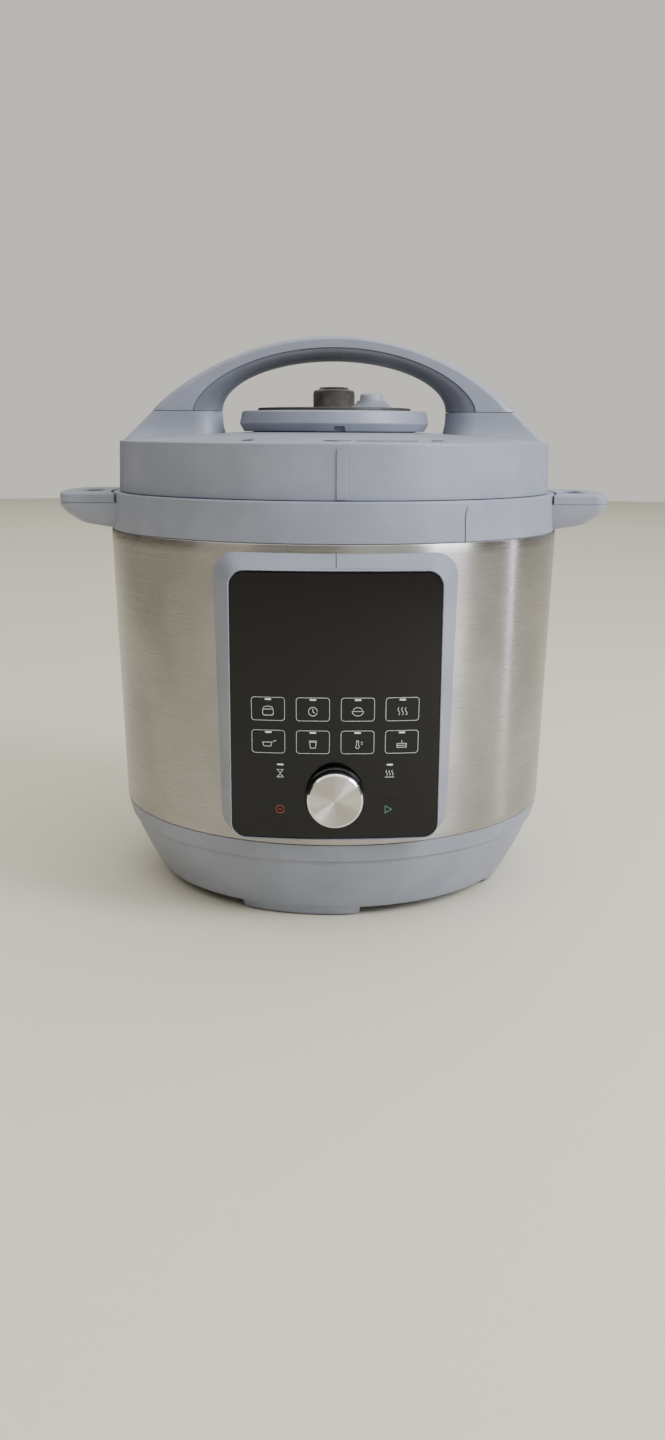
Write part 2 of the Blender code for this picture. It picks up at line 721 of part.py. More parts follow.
# --------------------------------------------------------------------------------
# Liner, flange, heater, pot
# --------------------------------------------------------------------------------
def build_liner():
    """Steel liner hung in the top ring, its locking flange and the heater."""
    stem_hole = SENSOR_STEM_R + 0.0015
    inner = LINER_R - LINER_T
    knee = 0.004
    profile = [
        (LINER_LIP_R, Z_LINER_LIP + LINER_T),
        (LINER_LIP_R, Z_LINER_LIP),
        (LINER_R, Z_LINER_LIP),
        (LINER_R, Z_LINER + knee),
        (LINER_R - knee, Z_LINER),
        (stem_hole, Z_LINER),
        (stem_hole, Z_LINER + LINER_T),
        (inner - knee, Z_LINER + LINER_T),
        (inner, Z_LINER + LINER_T + knee),
        (inner, Z_LINER_LIP + LINER_T),
    ]
    bm = bmesh.new()
    add_turned(bm, profile, SEG_IN)
    piece("inner_liner", bm, "pressed_steel")

    outline = []
    valley_r = LINER_LIP_R
    pitch = math.tau / LUGS
    for i in range(LUGS):
        middle = i * pitch
        for offset, radius in ((-pitch / 2, valley_r), (-LUG_W / 2 - 0.03, valley_r),
                               (-LUG_W / 2, FLANGE_LUG_R), (-LUG_W / 6, FLANGE_LUG_R),
                               (LUG_W / 6, FLANGE_LUG_R),
                               (LUG_W / 2, FLANGE_LUG_R), (LUG_W / 2 + 0.03, valley_r)):
            outline.append(polar(radius, middle + offset))
    count = len(outline)
    hole = [polar(POT_R + 0.0022, math.tau * i / count - pitch / 2) for i in range(count)]
    top = Z_FLANGE + FLANGE_T
    rings = [[(x, y, z) for x, y in line]
             for line, z in ((outline, top), (outline, Z_FLANGE), (hole, Z_FLANGE), (hole, top))]
    bm = bmesh.new()
    add_loft(bm, rings, closed=True)
    piece("locking_flange", bm, "pressed_steel")

    low = Z_LINER + LINER_T + 0.0034
    high = POT_LIFT_Z - GAP
    hole_r = SENSOR_R + 0.0015
    bm = bmesh.new()
    add_turned(bm, [(HEATER_R, high), (HEATER_R, low + 0.002), (HEATER_R * 0.8, low),
                    (hole_r, low), (hole_r, high)], SEG_IN)
    heater = piece("heater_plate", bm, "cast_aluminium")
    legs = bmesh.new()
    for i in range(3):
        spot = polar(HEATER_R * 0.6, math.tau * i / 3)
        add_round(legs, 0.005, Z_LINER + LINER_T + GAP, low + 0.001, spot, segments=12)
    join(heater, legs)


def build_sensor():
    """Sprung temperature sensor in the middle of the heater."""
    top = POT_LIFT_Z - GAP
    cap = top - SENSOR_T
    stem_low = Z_LINER - 0.006 - SENSOR_TRAVEL
    clip = Z_LINER - 0.0012
    profile = [(0, top), (SENSOR_R - 0.001, top), (SENSOR_R, top - 0.001), (SENSOR_R, cap),
               (SENSOR_STEM_R, cap), (SENSOR_STEM_R, clip), (SENSOR_STEM_R + 0.0030, clip),
               (SENSOR_STEM_R + 0.0030, clip - 0.0012), (SENSOR_STEM_R, clip - 0.0012),
               (SENSOR_STEM_R, stem_low), (0, stem_low)]
    bm = bmesh.new()
    add_turned(bm, profile, SEG_SMALL)
    piece("sensor_plunger", bm, "spun_aluminium")

    wire_r = 0.0006
    coil_r = SENSOR_STEM_R + 0.0033
    foot = Z_LINER + LINER_T + GAP + wire_r
    head = cap - GAP - wire_r
    turns = 3
    steps = 8 * turns
    rings = []
    for i in range(steps + 1):
        a = math.tau * turns * i / steps
        z = foot + (head - foot) * i / steps
        ring = []
        for k in range(5):
            b = math.tau * k / 5
            radius = coil_r + wire_r * math.cos(b)
            ring.append((radius * math.cos(a), radius * math.sin(a), z + wire_r * math.sin(b)))
        rings.append(ring)
    bm = bmesh.new()
    add_loft(bm, rings)
    piece("sensor_spring", bm, "screw_steel")


def build_pot():
    """Inner cooking pot with its turned-out rim."""
    low = POT_LIFT_Z
    inner = POT_R - POT_T
    rim_r = POT_R + POT_RIM
    rim = Z_POT_RIM
    knee = 0.006
    profile = [
        (0, low),
        (POT_R - knee, low),
        (POT_R, low + knee),
        (POT_R, rim - 0.0020),
        (POT_R + 0.0014, rim),
        (rim_r, rim),
        (rim_r, rim + POT_T),
        (POT_R + 0.0010, rim + POT_T),
        (inner, rim - 0.0016),
        (inner, low + POT_BASE_T + knee),
        (inner - knee, low + POT_BASE_T),
        (0, low + POT_BASE_T),
    ]
    bm = bmesh.new()
    add_turned(bm, profile, SEG_IN)
    piece("inner_pot", bm, "pressed_steel")


def build_electrics():
    """Pieces in the base: inlet, power board, pressure switch and fuse."""
    front = steel_r(Z_STEEL) - INLET_IN
    low = Z_SKIRT + INLET_HEIGHT
    middle = low + INLET_H / 2
    bm = bmesh.new()
    add_block(bm, (-INLET_W / 2, front - 0.026, low), (INLET_W / 2, front, low + INLET_H))
    inlet = piece("power_inlet", bm, "dark_plastic")
    socket = bmesh.new()
    add_block(socket, (-SOCKET_W / 2, front - SOCKET_D, middle - SOCKET_H / 2),
              (SOCKET_W / 2, front + 0.01, middle + SOCKET_H / 2))
    cut(inlet, socket)
    pins = bmesh.new()
    floor = front - SOCKET_D
    for x, z in ((-0.007, middle - 0.002), (0.007, middle - 0.002), (0.0, middle + 0.002)):
        add_block(pins, (x - 0.001, floor - 0.001, z - 0.002),
                  (x + 0.001, floor + PIN_LEN, z + 0.002))
    join(inlet, pins)

    bm = bmesh.new()
    add_block(bm, (POWER_BOARD_X[0], -POWER_BOARD_Y, Z_POWER_BOARD),
              (POWER_BOARD_X[1], POWER_BOARD_Y, Z_POWER_BOARD + BOARD_T))
    board = piece("power_board", bm, "circuit_board")
    parts = bmesh.new()
    seat = Z_POWER_BOARD + BOARD_T - 0.0002
    add_block(parts, (-0.094, -0.024, seat), (-0.078, -0.004, seat + 0.014))
    add_block(parts, (-0.074, 0.004, seat), (-0.060, 0.024, seat + 0.010))
    add_round(parts, 0.005, seat, seat + 0.015, (-0.088, 0.014), segments=12)
    join(board, parts)

    ceiling = Z_LINER - GAP
    bm = bmesh.new()
    add_block(bm, (0.024, -0.007, ceiling - 0.012), (0.046, 0.007, ceiling))
    piece("pressure_switch", bm, "dark_plastic")
    bm = bmesh.new()
    add_round(bm, 0.003, -0.034, -0.020, (0.0, ceiling - 0.003), "x", 12)
    piece("thermal_fuse", bm, "screw_steel")


# --------------------------------------------------------------------------------
# Control panel
# --------------------------------------------------------------------------------
def add_panel_plate(bm, x, z, width, height, corner, front, back, across=2):
    """A rounded plate that follows the fascia's curve, front and back given as depths."""
    rings = []
    for offset, cut_back in stations(width / 2, corner, across):
        px = x + offset
        low = z - height / 2 + cut_back
        high = z + height / 2 - cut_back
        near = panel_y(px) + front
        far = panel_y(px) + back
        rings.append([(px, near, low), (px, near, high), (px, far, high), (px, far, low)])
    add_loft(bm, rings)


def key_places():
    """Each key's name, x, height, width and tallness."""
    number = 1
    for row in KEY_ROWS:
        for x in KEY_X:
            yield f"program_key_{number}", x, Z_FASCIA + row, KEY_W, KEY_H
            number += 1
    for name, (x, height) in SOFT_KEYS.items():
        yield name, x, Z_FASCIA + height, SOFT_KEY_W, SOFT_KEY_H


def build_panel():
    """Bezel, fascia, keys and the boards behind them."""
    half = FASCIA_W / 2
    top = Z_FASCIA + FASCIA_H
    tunnel = tunnel_outline(0.0)
    outer = tunnel_outline(TUNNEL_T)
    back = Y_BOARD - GAP
    lines = [
        ((half + BEZEL_SIDE, Z_FASCIA - BEZEL_FOOT, top + BEZEL_TOP, BEZEL_CORNER), "steel"),
        ((half + GAP + RIM_W, Z_FASCIA - GAP - RIM_W, top + GAP + RIM_W, FASCIA_CORNER + RIM_W),
         -0.0004),
        ((half + GAP, Z_FASCIA - GAP, top + GAP, FASCIA_CORNER), -0.0004),
        ((half + GAP, Z_FASCIA - GAP, top + GAP, FASCIA_CORNER), FASCIA_T + GAP),
        ((*tunnel, 0.003), FASCIA_T + GAP),
        ((*tunnel, 0.003), "back"),
        ((*outer, 0.004), "back"),
        ((*outer, 0.004), "steel"),
    ]
    rings = []
    for (half_w, low, high, corner), depth in lines:
        ring = []
        for x, z in rounded(half_w, low, high, corner, across=FASCIA_FACETS):
            if depth == "steel":
                y = steel_y(x, z) - GAP
            elif depth == "back":
                y = back
            else:
                y = panel_y(x) + depth
            ring.append((x, y, z))
        rings.append(ring)
    bm = bmesh.new()
    add_loft(bm, rings, closed=True)
    piece("panel_bezel", bm, "grey_plastic")

    bm = bmesh.new()
    add_panel_plate(bm, 0.0, Z_FASCIA + FASCIA_H / 2, FASCIA_W, FASCIA_H, FASCIA_CORNER,
                    0.0, FASCIA_T, across=FASCIA_FACETS)
    fascia = piece("panel_fascia", bm, "gloss_black")
    pockets = bmesh.new()
    for _, x, z, width, height in key_places():
        add_panel_plate(pockets, x, z, width + 2 * GAP, height + 2 * GAP, KEY_R + GAP,
                        -0.002, FASCIA_T + 0.002)
    add_round(pockets, SHAFT_R + 2 * RUN, -PANEL_FRONT - 0.002, -PANEL_FRONT + 0.006,
              (0.0, Z_KNOB), "y")
    cut(fascia, pockets)
    build_board()
    for name, x, z, width, height in key_places():
        bm = bmesh.new()
        add_panel_plate(bm, x, z, width, height, KEY_R, 0.0, KEY_T)
        key = piece(name, bm, "gloss_black")
        stem = bmesh.new()
        add_block(stem, (x - 0.002, -PANEL_FRONT + KEY_T - 0.001, z - 0.002),
                  (x + 0.002, Y_BOARD - SWITCH_H - KEY_TRAVEL - GAP, z + 0.002))
        join(key, stem)


def build_board():
    """Control board with its switches, the display and the knob's encoder."""
    half, low, high = tunnel_outline(TUNNEL_T - 0.0006)
    bm = bmesh.new()
    add_block(bm, (-half, Y_BOARD, low), (half, Y_BOARD + BOARD_T, high))
    board = piece("control_board", bm, "circuit_board")
    switches = bmesh.new()
    for _, x, z, _, _ in key_places():
        add_block(switches, (x - 0.003, Y_BOARD - SWITCH_H, z - 0.003),
                  (x + 0.003, Y_BOARD + 0.0004, z + 0.003))
    join(board, switches)

    middle = Z_FASCIA + DISPLAY_HEIGHT
    bm = bmesh.new()
    add_block(bm, (-DISPLAY_W / 2, -PANEL_FRONT + FASCIA_T + 0.0028, middle - DISPLAY_H / 2),
              (DISPLAY_W / 2, Y_BOARD - GAP, middle + DISPLAY_H / 2))
    piece("display_module", bm, "dark_plastic")

    half = ENCODER_W / 2
    bm = bmesh.new()
    add_block(bm, (-half, Y_BOARD - 0.0062, Z_KNOB - half),
              (half, Y_BOARD - GAP, Z_KNOB + half))
    encoder = piece("encoder_body", bm, "screw_steel")
    bush = bmesh.new()
    add_round(bush, SHAFT_R + 0.0018, Y_BOARD - 0.0105, Y_BOARD - 0.006, (0.0, Z_KNOB), "y")
    join(encoder, bush)
    bore = bmesh.new()
    add_round(bore, SHAFT_R + GAP, Y_BOARD - 0.012, Y_BOARD - 0.002, (0.0, Z_KNOB), "y")
    cut(encoder, bore)


def build_knob():
    """Encoder shaft, knob and the knob's spun metal face."""
    shaft_in = Y_BOARD - 0.002 - KNOB_TRAVEL - GAP
    shaft_out = Y_KNOB_BACK - KNOB_LEN * 0.7
    bm = bmesh.new()
    add_round(bm, SHAFT_R, shaft_out, shaft_in, (0.0, Z_KNOB), "y")
    piece("knob_shaft", bm, "screw_steel")

    front = Y_KNOB_BACK - KNOB_LEN
    rings = []
    for radius, y in ((KNOB_R, Y_KNOB_BACK), (KNOB_R, front + 0.001), (KNOB_R - 0.001, front)):
        rings.append([(x, y, z) for x, z in circle(radius, (0.0, Z_KNOB), KNOB_SIDES)])
    bm = bmesh.new()
    add_loft(bm, rings)
    knob = piece("control_knob", bm, "dark_plastic")
    bore = bmesh.new()
    add_round(bore, SHAFT_R + GAP, shaft_out - GAP, Y_KNOB_BACK + 0.002, (0.0, Z_KNOB), "y")
    cut(knob, bore)

    rings = []
    for radius, y in ((KNOB_FACE_R, front - GAP), (KNOB_FACE_R, front - GAP - 0.0006),
                      (KNOB_FACE_R - 0.001, front - GAP - KNOB_FACE_T)):
        rings.append([(x, y, z) for x, z in circle(radius, (0.0, Z_KNOB), KNOB_SIDES)])
    bm = bmesh.new()
    add_loft(bm, rings)
    piece("knob_face", bm, "spun_aluminium")


# --------------------------------------------------------------------------------
# Lid
# --------------------------------------------------------------------------------
def boss_ring(z, flare, side):
    """Plan of a handle boss at one height: a rounded nose inside, the lid's curve outside."""
    share = (Z_PARTING - z) / (Z_PARTING - Z_LID_EDGE)
    nose = HOLE_HALF - 0.8 * flare
    shoulder = EDGE_HALF
    half_d = ARCH_HALF_D + flare
    out_r = ARCH_HALF + share * (LID_R - LID_DRAFT - 0.0022 - ARCH_HALF)
    points = []
    for i in range(9):
        a = math.radians(-90 + 180 * i / 8)
        points.append((shoulder - (shoulder - nose) * math.cos(a), half_d * math.sin(a)))
    corner = 0.003
    for y in (half_d, half_d - corner, 0.0, corner - half_d, -half_d):
        inset = corner if abs(y) == half_d else 0.0
        points.append((math.sqrt(out_r ** 2 - y ** 2) - inset, y))
    return [(side * x, y, z) for x, y in points]


def build_lid_shell():
    """Moulded lid with the two bosses that carry its handle."""
    edge = LID_R - LID_DRAFT
    hole = SPIGOT_R + GAP
    knee = LID_KNEE * edge
    top = [(radius, lid_top_z(radius)) for radius in (hole, DECK_R + 0.008, knee, 0.86 * edge)]
    profile = top + [
        (edge - 0.0040, Z_LID_EDGE + 0.0008),
        (edge - 0.0008, Z_LID_EDGE - 0.0008),
        (edge, Z_LID_EDGE - 0.0030),
        (LID_R, Z_LID),
        (LID_IN_R, Z_LID),
        (edge - LID_T, Z_LID_EDGE - 0.0045),
        (edge - LID_RIM_W, Z_LID_EDGE - LID_RIM_DROP),
    ]
    profile += [(knee, lid_under_z(knee)), (hole, lid_top_z(hole) - LID_T)]
    bm = bmesh.new()
    add_turned(bm, profile, SEG_OUT)
    shell = piece("lid_shell", bm, "grey_plastic")
    for side in (1, -1):
        rings = []
        base = Z_LID_EDGE - 0.0004
        for share, flare in ((0.0, 1.0), (0.25, 0.55), (0.45, 0.2), (0.7, 0.05), (1.0, 0.0)):
            z = base + share * (Z_PARTING - base)
            rings.append(boss_ring(z, BOSS_FLARE * flare, side))
        boss = bmesh.new()
        add_loft(boss, rings)
        join(shell, boss)
        hole = bmesh.new()
        spot = (side * HANDLE_SCREW_X, 0.0)
        add_round(hole, HANDLE_SCREW_R + GAP, Z_LID, Z_PARTING + 0.002, spot, segments=12)
        cut(shell, hole)


def build_lid_handle():
    """Cover and grip insert of the lid handle, and its two screws."""
    steps = 24
    angles = [math.pi * i / steps for i in range(steps + 1)]
    cover_section = ((0.0, -1.0), (0.62, -1.0), (0.93, -0.86), (1.0, -0.55),
                     (1.0, 0.55), (0.93, 0.86), (0.62, 1.0), (0.0, 1.0))
    grip_section = ((1.0, -0.96), (1.0, 0.96), (0.62, 0.90), (0.22, 0.66), (0.0, 0.30),
                    (0.0, -0.30), (0.22, -0.66), (0.62, -0.90))
    cover_rings = []
    grip_rings = []
    for a in angles:
        outer = arch_point(ARCH_HALF, ARCH_RISE, 0.90, a)
        edge = arch_point(EDGE_HALF, EDGE_RISE, 0.62, a)
        inner = arch_point(HOLE_HALF, HOLE_RISE, 0.50, a)
        cover_rings.append(section_points(edge, outer, cover_section))
        reach = math.dist(edge, inner)
        seat = tuple(e + (i - e) * GAP / reach for e, i in zip(edge, inner))
        grip_rings.append(section_points(inner, seat, grip_section))
    bm = bmesh.new()
    add_loft(bm, cover_rings)
    cover = piece("lid_handle_cover", bm, "grey_plastic")
    bm = bmesh.new()
    add_loft(bm, grip_rings)
    piece("lid_handle_grip", bm, "grip_plastic")

    for side, word in ((1, "right"), (-1, "left")):
        spot = (side * HANDLE_SCREW_X, 0.0)
        low = lid_under_z(HANDLE_SCREW_X + HANDLE_SCREW_HEAD_R) - GAP
        tip = Z_PARTING + 0.006
        hole = bmesh.new()
        add_round(hole, HANDLE_SCREW_R + GAP, Z_PARTING - 0.002, tip + GAP, spot, segments=12)
        cut(cover, hole)
        profile = [(0, tip), (HANDLE_SCREW_R, tip), (HANDLE_SCREW_R, low),
                   (HANDLE_SCREW_HEAD_R, low),
                   (HANDLE_SCREW_HEAD_R - 0.0006, low - 0.0022), (0, low - 0.0022)]
        bm = bmesh.new()
        add_turned(bm, profile, 12, spot)
        piece(f"handle_screw_{word}", bm, "screw_steel")


def section_points(inner, outer, section):
    """Points across the handle, from its inner to its outer curve."""
    return [(inner[0] + share * (outer[0] - inner[0]), y * ARCH_HALF_D,
             inner[1] + share * (outer[1] - inner[1])) for share, y in section]


def build_lid_inside():
    """Steel disc with its locking lugs, sealing ring and the ring's rack."""
    low = Z_LINER_LIP - 0.0050
    rim_in = DISC_R - DISC_T
    under = Z_DISC
    bend = 0.0055
    profile = [
        (0, under + DISC_T), (DISC_R - 3 * bend, under + DISC_T),
        (DISC_R - bend, under + DISC_T - 0.0012), (DISC_R, under - bend), (DISC_R, low),
        (rim_in, low), (rim_in, under - bend - 0.0005), (DISC_R - bend - 0.0008, under - 0.0014),
        (DISC_R - 3 * bend, under), (0, under),
    ]
    bm = bmesh.new()
    add_turned(bm, profile, SEG_IN)
    disc = piece("lid_disc", bm, "pressed_steel")
    lugs = bmesh.new()
    for i in range(LUGS):
        outline = sector(LUG_TIP_R, DISC_R - DISC_T / 2, i * math.tau / LUGS, LUG_W, 3)
        add_prism(lugs, outline, low + 0.0002, low + 0.0030)
    join(disc, lugs)
    holes = bmesh.new()
    add_round(holes, PIPE_R + GAP, under - 0.005, under + 0.005, VALVE_XY, segments=16)
    add_round(holes, FLOAT_R + 0.0005, under - 0.005, under + 0.005, FLOAT_XY, segments=16)
    cut(disc, holes)

    seal_in = POT_R + 0.0018
    seal_out = seal_in + SEAL_W
    top = Z_SEAL + SEAL_H
    profile = [
        (seal_out, top), (seal_out - 0.0015, Z_SEAL + 0.004), (seal_out, Z_SEAL),
        (seal_in + 0.0005, Z_SEAL),
        (seal_in + 0.0005, Z_SEAL + 0.0030), (seal_in + 0.0030, Z_SEAL + 0.0038),
        (seal_in + 0.0030, top - 0.0026), (seal_in + 0.0005, top - 0.0020), (seal_in + 0.0005, top),
    ]
    bm = bmesh.new()
    add_turned(bm, profile, SEG_IN)
    piece("sealing_ring", bm, "silicone")

    rack_out = seal_in + 0.0030 - 0.0005
    rack_low = Z_SEAL + 0.0045
    rack_top = top - 0.0032
    bm = bmesh.new()
    add_turned(bm, [(rack_out, rack_top), (rack_out, rack_low), (rack_out - RACK_W, rack_low),
                    (rack_out - RACK_W, rack_top)], SEG_IN)
    rack = piece("sealing_ring_rack", bm, "pressed_steel")
    arms = bmesh.new()
    posts = bmesh.new()
    for i in range(6):
        middle = i * math.tau / 6
        outline = sector(rack_out - 0.0052, rack_out - RACK_W / 2, middle, 0.05, 1)
        add_prism(arms, outline, rack_low + 0.0004, rack_low + 0.0014)
        outline = sector(rack_out - 0.0060, rack_out - 0.0046, middle, 0.06, 1)
        add_prism(posts, outline, rack_low + 0.0002, Z_DISC - GAP)
    join(rack, arms)
    join(rack, posts)


def build_deck():
    """Round valve deck, its dark plate, steam pipe, valves and release button."""
    top = Z_DECK + DECK_H
    well_r = PLATE_R + 0.0004
    floor = Z_DECK_FLOOR
    under = floor - 0.003
    profile = [
        (0, floor), (well_r, floor), (well_r, top), (DECK_R - 0.0022, top),
        (DECK_R - 0.0010, top - 0.0010), (DECK_R, Z_DECK + 0.0042),
        (DECK_R - DECK_CHAMFER, Z_DECK), (SPIGOT_R, Z_DECK), (SPIGOT_R, Z_LID_TOP - 0.0065),
        (SPIGOT_R - WALL, Z_LID_TOP - 0.0065), (SPIGOT_R - WALL, under), (0, under),
    ]
    bm = bmesh.new()
    add_turned(bm, [(r, z) for r, z in profile], SEG_IN)
    deck = piece("valve_deck", bm, "grey_plastic")
    holes = bmesh.new()
    add_round(holes, PIPE_R + GAP, under - 0.002, floor + 0.002, VALVE_XY, segments=16)
    add_round(holes, FLOAT_R + 0.0005, under - 0.002, floor + 0.002, FLOAT_XY, segments=16)
    cut(deck, holes)

    low = floor + GAP
    plate_top = Z_PLATE_TOP
    bm = bmesh.new()
    add_turned(bm, [(0, plate_top), (PLATE_R - 0.0012, plate_top), (PLATE_R, plate_top - 0.0012),
                    (PLATE_R, low), (0, low)], SEG_IN)
    plate = piece("deck_plate", bm, "dark_plastic")
    collar = bmesh.new()
    add_turned(collar, [(0, plate_top + BUTTON_COLLAR_H),
                        (BUTTON_R + 0.0012, plate_top + BUTTON_COLLAR_H),
                        (BUTTON_COLLAR_R - 0.0012, plate_top + 0.0012),
                        (BUTTON_COLLAR_R, plate_top - 0.0006), (0, plate_top - 0.0006)],
               24, BUTTON_XY)
    join(plate, collar)
    holes = bmesh.new()
    high = plate_top + BUTTON_COLLAR_H + 0.002
    add_round(holes, BUTTON_R + 0.0004, low - 0.001, high, BUTTON_XY, segments=24)
    add_round(holes, PIPE_R + 0.0034, low - 0.001, high, VALVE_XY)
    add_round(holes, FLOAT_R + 0.0005, low - 0.001, high, FLOAT_XY, segments=16)
    cut(plate, holes)

    bm = bmesh.new()
    button_top = plate_top + BUTTON_COLLAR_H + BUTTON_TRAVEL + 0.0002
    button_low = floor + BUTTON_TRAVEL + GAP
    add_turned(bm, [(0, button_top), (BUTTON_R - 0.0015, button_top),
                    (BUTTON_R, button_top - 0.0012), (BUTTON_R, button_low), (0, button_low)],
               24, BUTTON_XY)
    piece("quick_release_button", bm, "clear_white")
    build_valves(plate_top, floor, under)


def build_valves(plate_top, floor, under):
    """Steam pipe with its shield, the steam valve on it and the float valve."""
    pipe_top = plate_top + 0.0010 + VALVE_LIFT
    pipe_low = Z_DISC - 0.0060
    seat = Z_DISC + DISC_T + GAP
    bore = PIPE_R - 0.0022
    bm = bmesh.new()
    add_turned(bm, [(PIPE_R, pipe_top), (PIPE_R, seat + 0.002), (PIPE_R + 0.005, seat + 0.002),
                    (PIPE_R + 0.005, seat), (PIPE_R, seat), (PIPE_R, pipe_low), (bore, pipe_low),
                    (bore, pipe_top)], 16, VALVE_XY)
    piece("steam_pipe", bm, "screw_steel")

    shield_r = 0.0135
    shield_top = Z_DISC - GAP
    bm = bmesh.new()
    add_turned(bm, [(shield_r, shield_top), (shield_r, shield_top - 0.010),
                    (shield_r - 0.002, shield_top - 0.012), (0, shield_top - 0.012),
                    (0, shield_top - 0.0108), (shield_r - 0.0025, shield_top - 0.0108),
                    (shield_r - 0.0012, shield_top - 0.0095), (shield_r - 0.0012, shield_top)],
               24, VALVE_XY)
    shield = piece("anti_block_shield", bm, "pressed_steel")
    slots = bmesh.new()
    x, y = VALVE_XY
    middle = shield_top - 0.0055
    add_block(slots, (x - 0.003, y - 0.02, middle - 0.002), (x + 0.003, y + 0.02, middle + 0.002))
    add_block(slots, (x - 0.02, y - 0.003, middle - 0.002), (x + 0.02, y + 0.003, middle + 0.002))
    cut(shield, slots)

    skirt = plate_top + GAP
    top = skirt + VALVE_H
    bore = PIPE_R + 0.0004
    bm = bmesh.new()
    add_turned(bm, [(0, top), (VALVE_CAP_R - 0.0012, top), (VALVE_CAP_R, top - 0.0010),
                    (VALVE_CAP_R + 0.0004, top - 0.0022), (VALVE_R - 0.0012, top - 0.0026),
                    (VALVE_R, top - 0.0040), (VALVE_R - 0.0010, skirt), (PIPE_R + 0.0026, skirt),
                    (PIPE_R + 0.0026, floor + 0.001), (bore, floor + 0.001),
                    (bore, pipe_top + 0.0012), (0, pipe_top + 0.0030)], 24, VALVE_XY)
    piece("steam_valve", bm, "valve_plastic")

    head = Z_DISC - FLOAT_RISE - GAP
    bm = bmesh.new()
    add_turned(bm, [(0, plate_top - 0.0005), (FLOAT_R, plate_top - 0.0005), (FLOAT_R, head - 0.0060),
                    (0, head - 0.0060)], 16, FLOAT_XY)
    piece("float_valve", bm, "pressed_steel")
    bm = bmesh.new()
    inner = FLOAT_R + GAP
    add_turned(bm, [(FLOAT_R + 0.0020, head), (FLOAT_R + 0.0028, head - 0.0012),
                    (FLOAT_R + 0.0016, head - 0.0042), (inner, head - 0.0042), (inner, head)],
               16, FLOAT_XY)
    piece("float_cap", bm, "silicone")


# --------------------------------------------------------------------------------
def main():
    for obj in list(bpy.data.objects):
        bpy.data.objects.remove(obj, do_unlink=True)
    build_base()
    build_wrap()
    build_ring()
    build_liner()
    build_sensor()
    build_pot()
    build_electrics()
    build_panel()
    build_knob()
    build_lid_shell()
    build_lid_handle()
    build_lid_inside()
    build_deck()


main()
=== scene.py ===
"""Looks of the electric pressure cooker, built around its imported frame.

Metres, +Z up, the front with its control panel faces -Y. The file is laid out as an
add-on, so that each group of pieces has its own operator and the sizes and colours a
user would change are properties of the scene.
"""
import math

import bmesh
import bpy
from mathutils import Matrix, Vector


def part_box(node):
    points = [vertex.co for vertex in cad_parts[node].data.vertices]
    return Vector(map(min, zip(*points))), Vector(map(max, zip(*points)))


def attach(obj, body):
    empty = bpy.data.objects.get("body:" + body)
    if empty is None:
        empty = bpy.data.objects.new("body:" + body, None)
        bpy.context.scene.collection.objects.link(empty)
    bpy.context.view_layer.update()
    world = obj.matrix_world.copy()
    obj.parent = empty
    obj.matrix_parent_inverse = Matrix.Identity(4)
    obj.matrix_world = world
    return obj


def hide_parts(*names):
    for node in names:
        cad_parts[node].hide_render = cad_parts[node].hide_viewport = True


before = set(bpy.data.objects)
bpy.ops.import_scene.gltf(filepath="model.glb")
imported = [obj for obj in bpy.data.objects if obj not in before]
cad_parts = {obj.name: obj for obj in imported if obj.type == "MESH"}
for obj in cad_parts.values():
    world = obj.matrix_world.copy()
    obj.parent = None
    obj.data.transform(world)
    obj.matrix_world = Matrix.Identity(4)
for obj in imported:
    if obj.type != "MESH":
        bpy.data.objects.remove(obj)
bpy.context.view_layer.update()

bl_info = {
    "name": "Pressure Cooker",
    "version": (1, 0, 0),
    "blender": (4, 5, 0),
    "location": "View3D > Sidebar > Cooker",
    "description": "Builds the visible pieces and finishes of an electric pressure cooker",
    "category": "Object",
}

# ---- Places read from the frame
STEEL_LOW, STEEL_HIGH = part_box("outer_housing")
RING_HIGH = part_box("top_ring")[1]
LID_LOW, LID_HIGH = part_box("lid_shell")
COVER_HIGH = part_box("lid_handle_cover")[1]
GRIP_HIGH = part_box("lid_handle_grip")[1]
DECK_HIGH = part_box("valve_deck")[1]
PLATE_LOW, PLATE_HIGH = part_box("deck_plate")
FASCIA_LOW, FASCIA_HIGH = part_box("panel_fascia")
BEZEL_LOW, BEZEL_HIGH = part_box("panel_bezel")
KNOB_LOW, KNOB_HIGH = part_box("control_knob")
FACE_LOW, FACE_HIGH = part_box("knob_face")
VALVE_LOW, VALVE_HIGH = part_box("steam_valve")
BUTTON_LOW, BUTTON_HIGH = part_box("quick_release_button")
POT_LOW, POT_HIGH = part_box("inner_pot")
LINER_LOW, LINER_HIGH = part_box("inner_liner")
DISC_LOW, DISC_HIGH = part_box("lid_disc")
SEAL_LOW, SEAL_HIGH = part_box("sealing_ring")
HEATER_LOW, HEATER_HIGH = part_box("heater_plate")
CUP_LOW, CUP_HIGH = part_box("condensation_collector")
INLET_LOW, INLET_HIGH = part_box("power_inlet")
HOUSING_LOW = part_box("base_housing")[0]
FLANGE_LOW, FLANGE_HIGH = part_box("locking_flange")
UNDER_LOW, UNDER_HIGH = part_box("bottom_cover")

GAP = 0.0003
FINE = 192               # sides of the large rounds
MEDIUM = 96
SMALL = 48

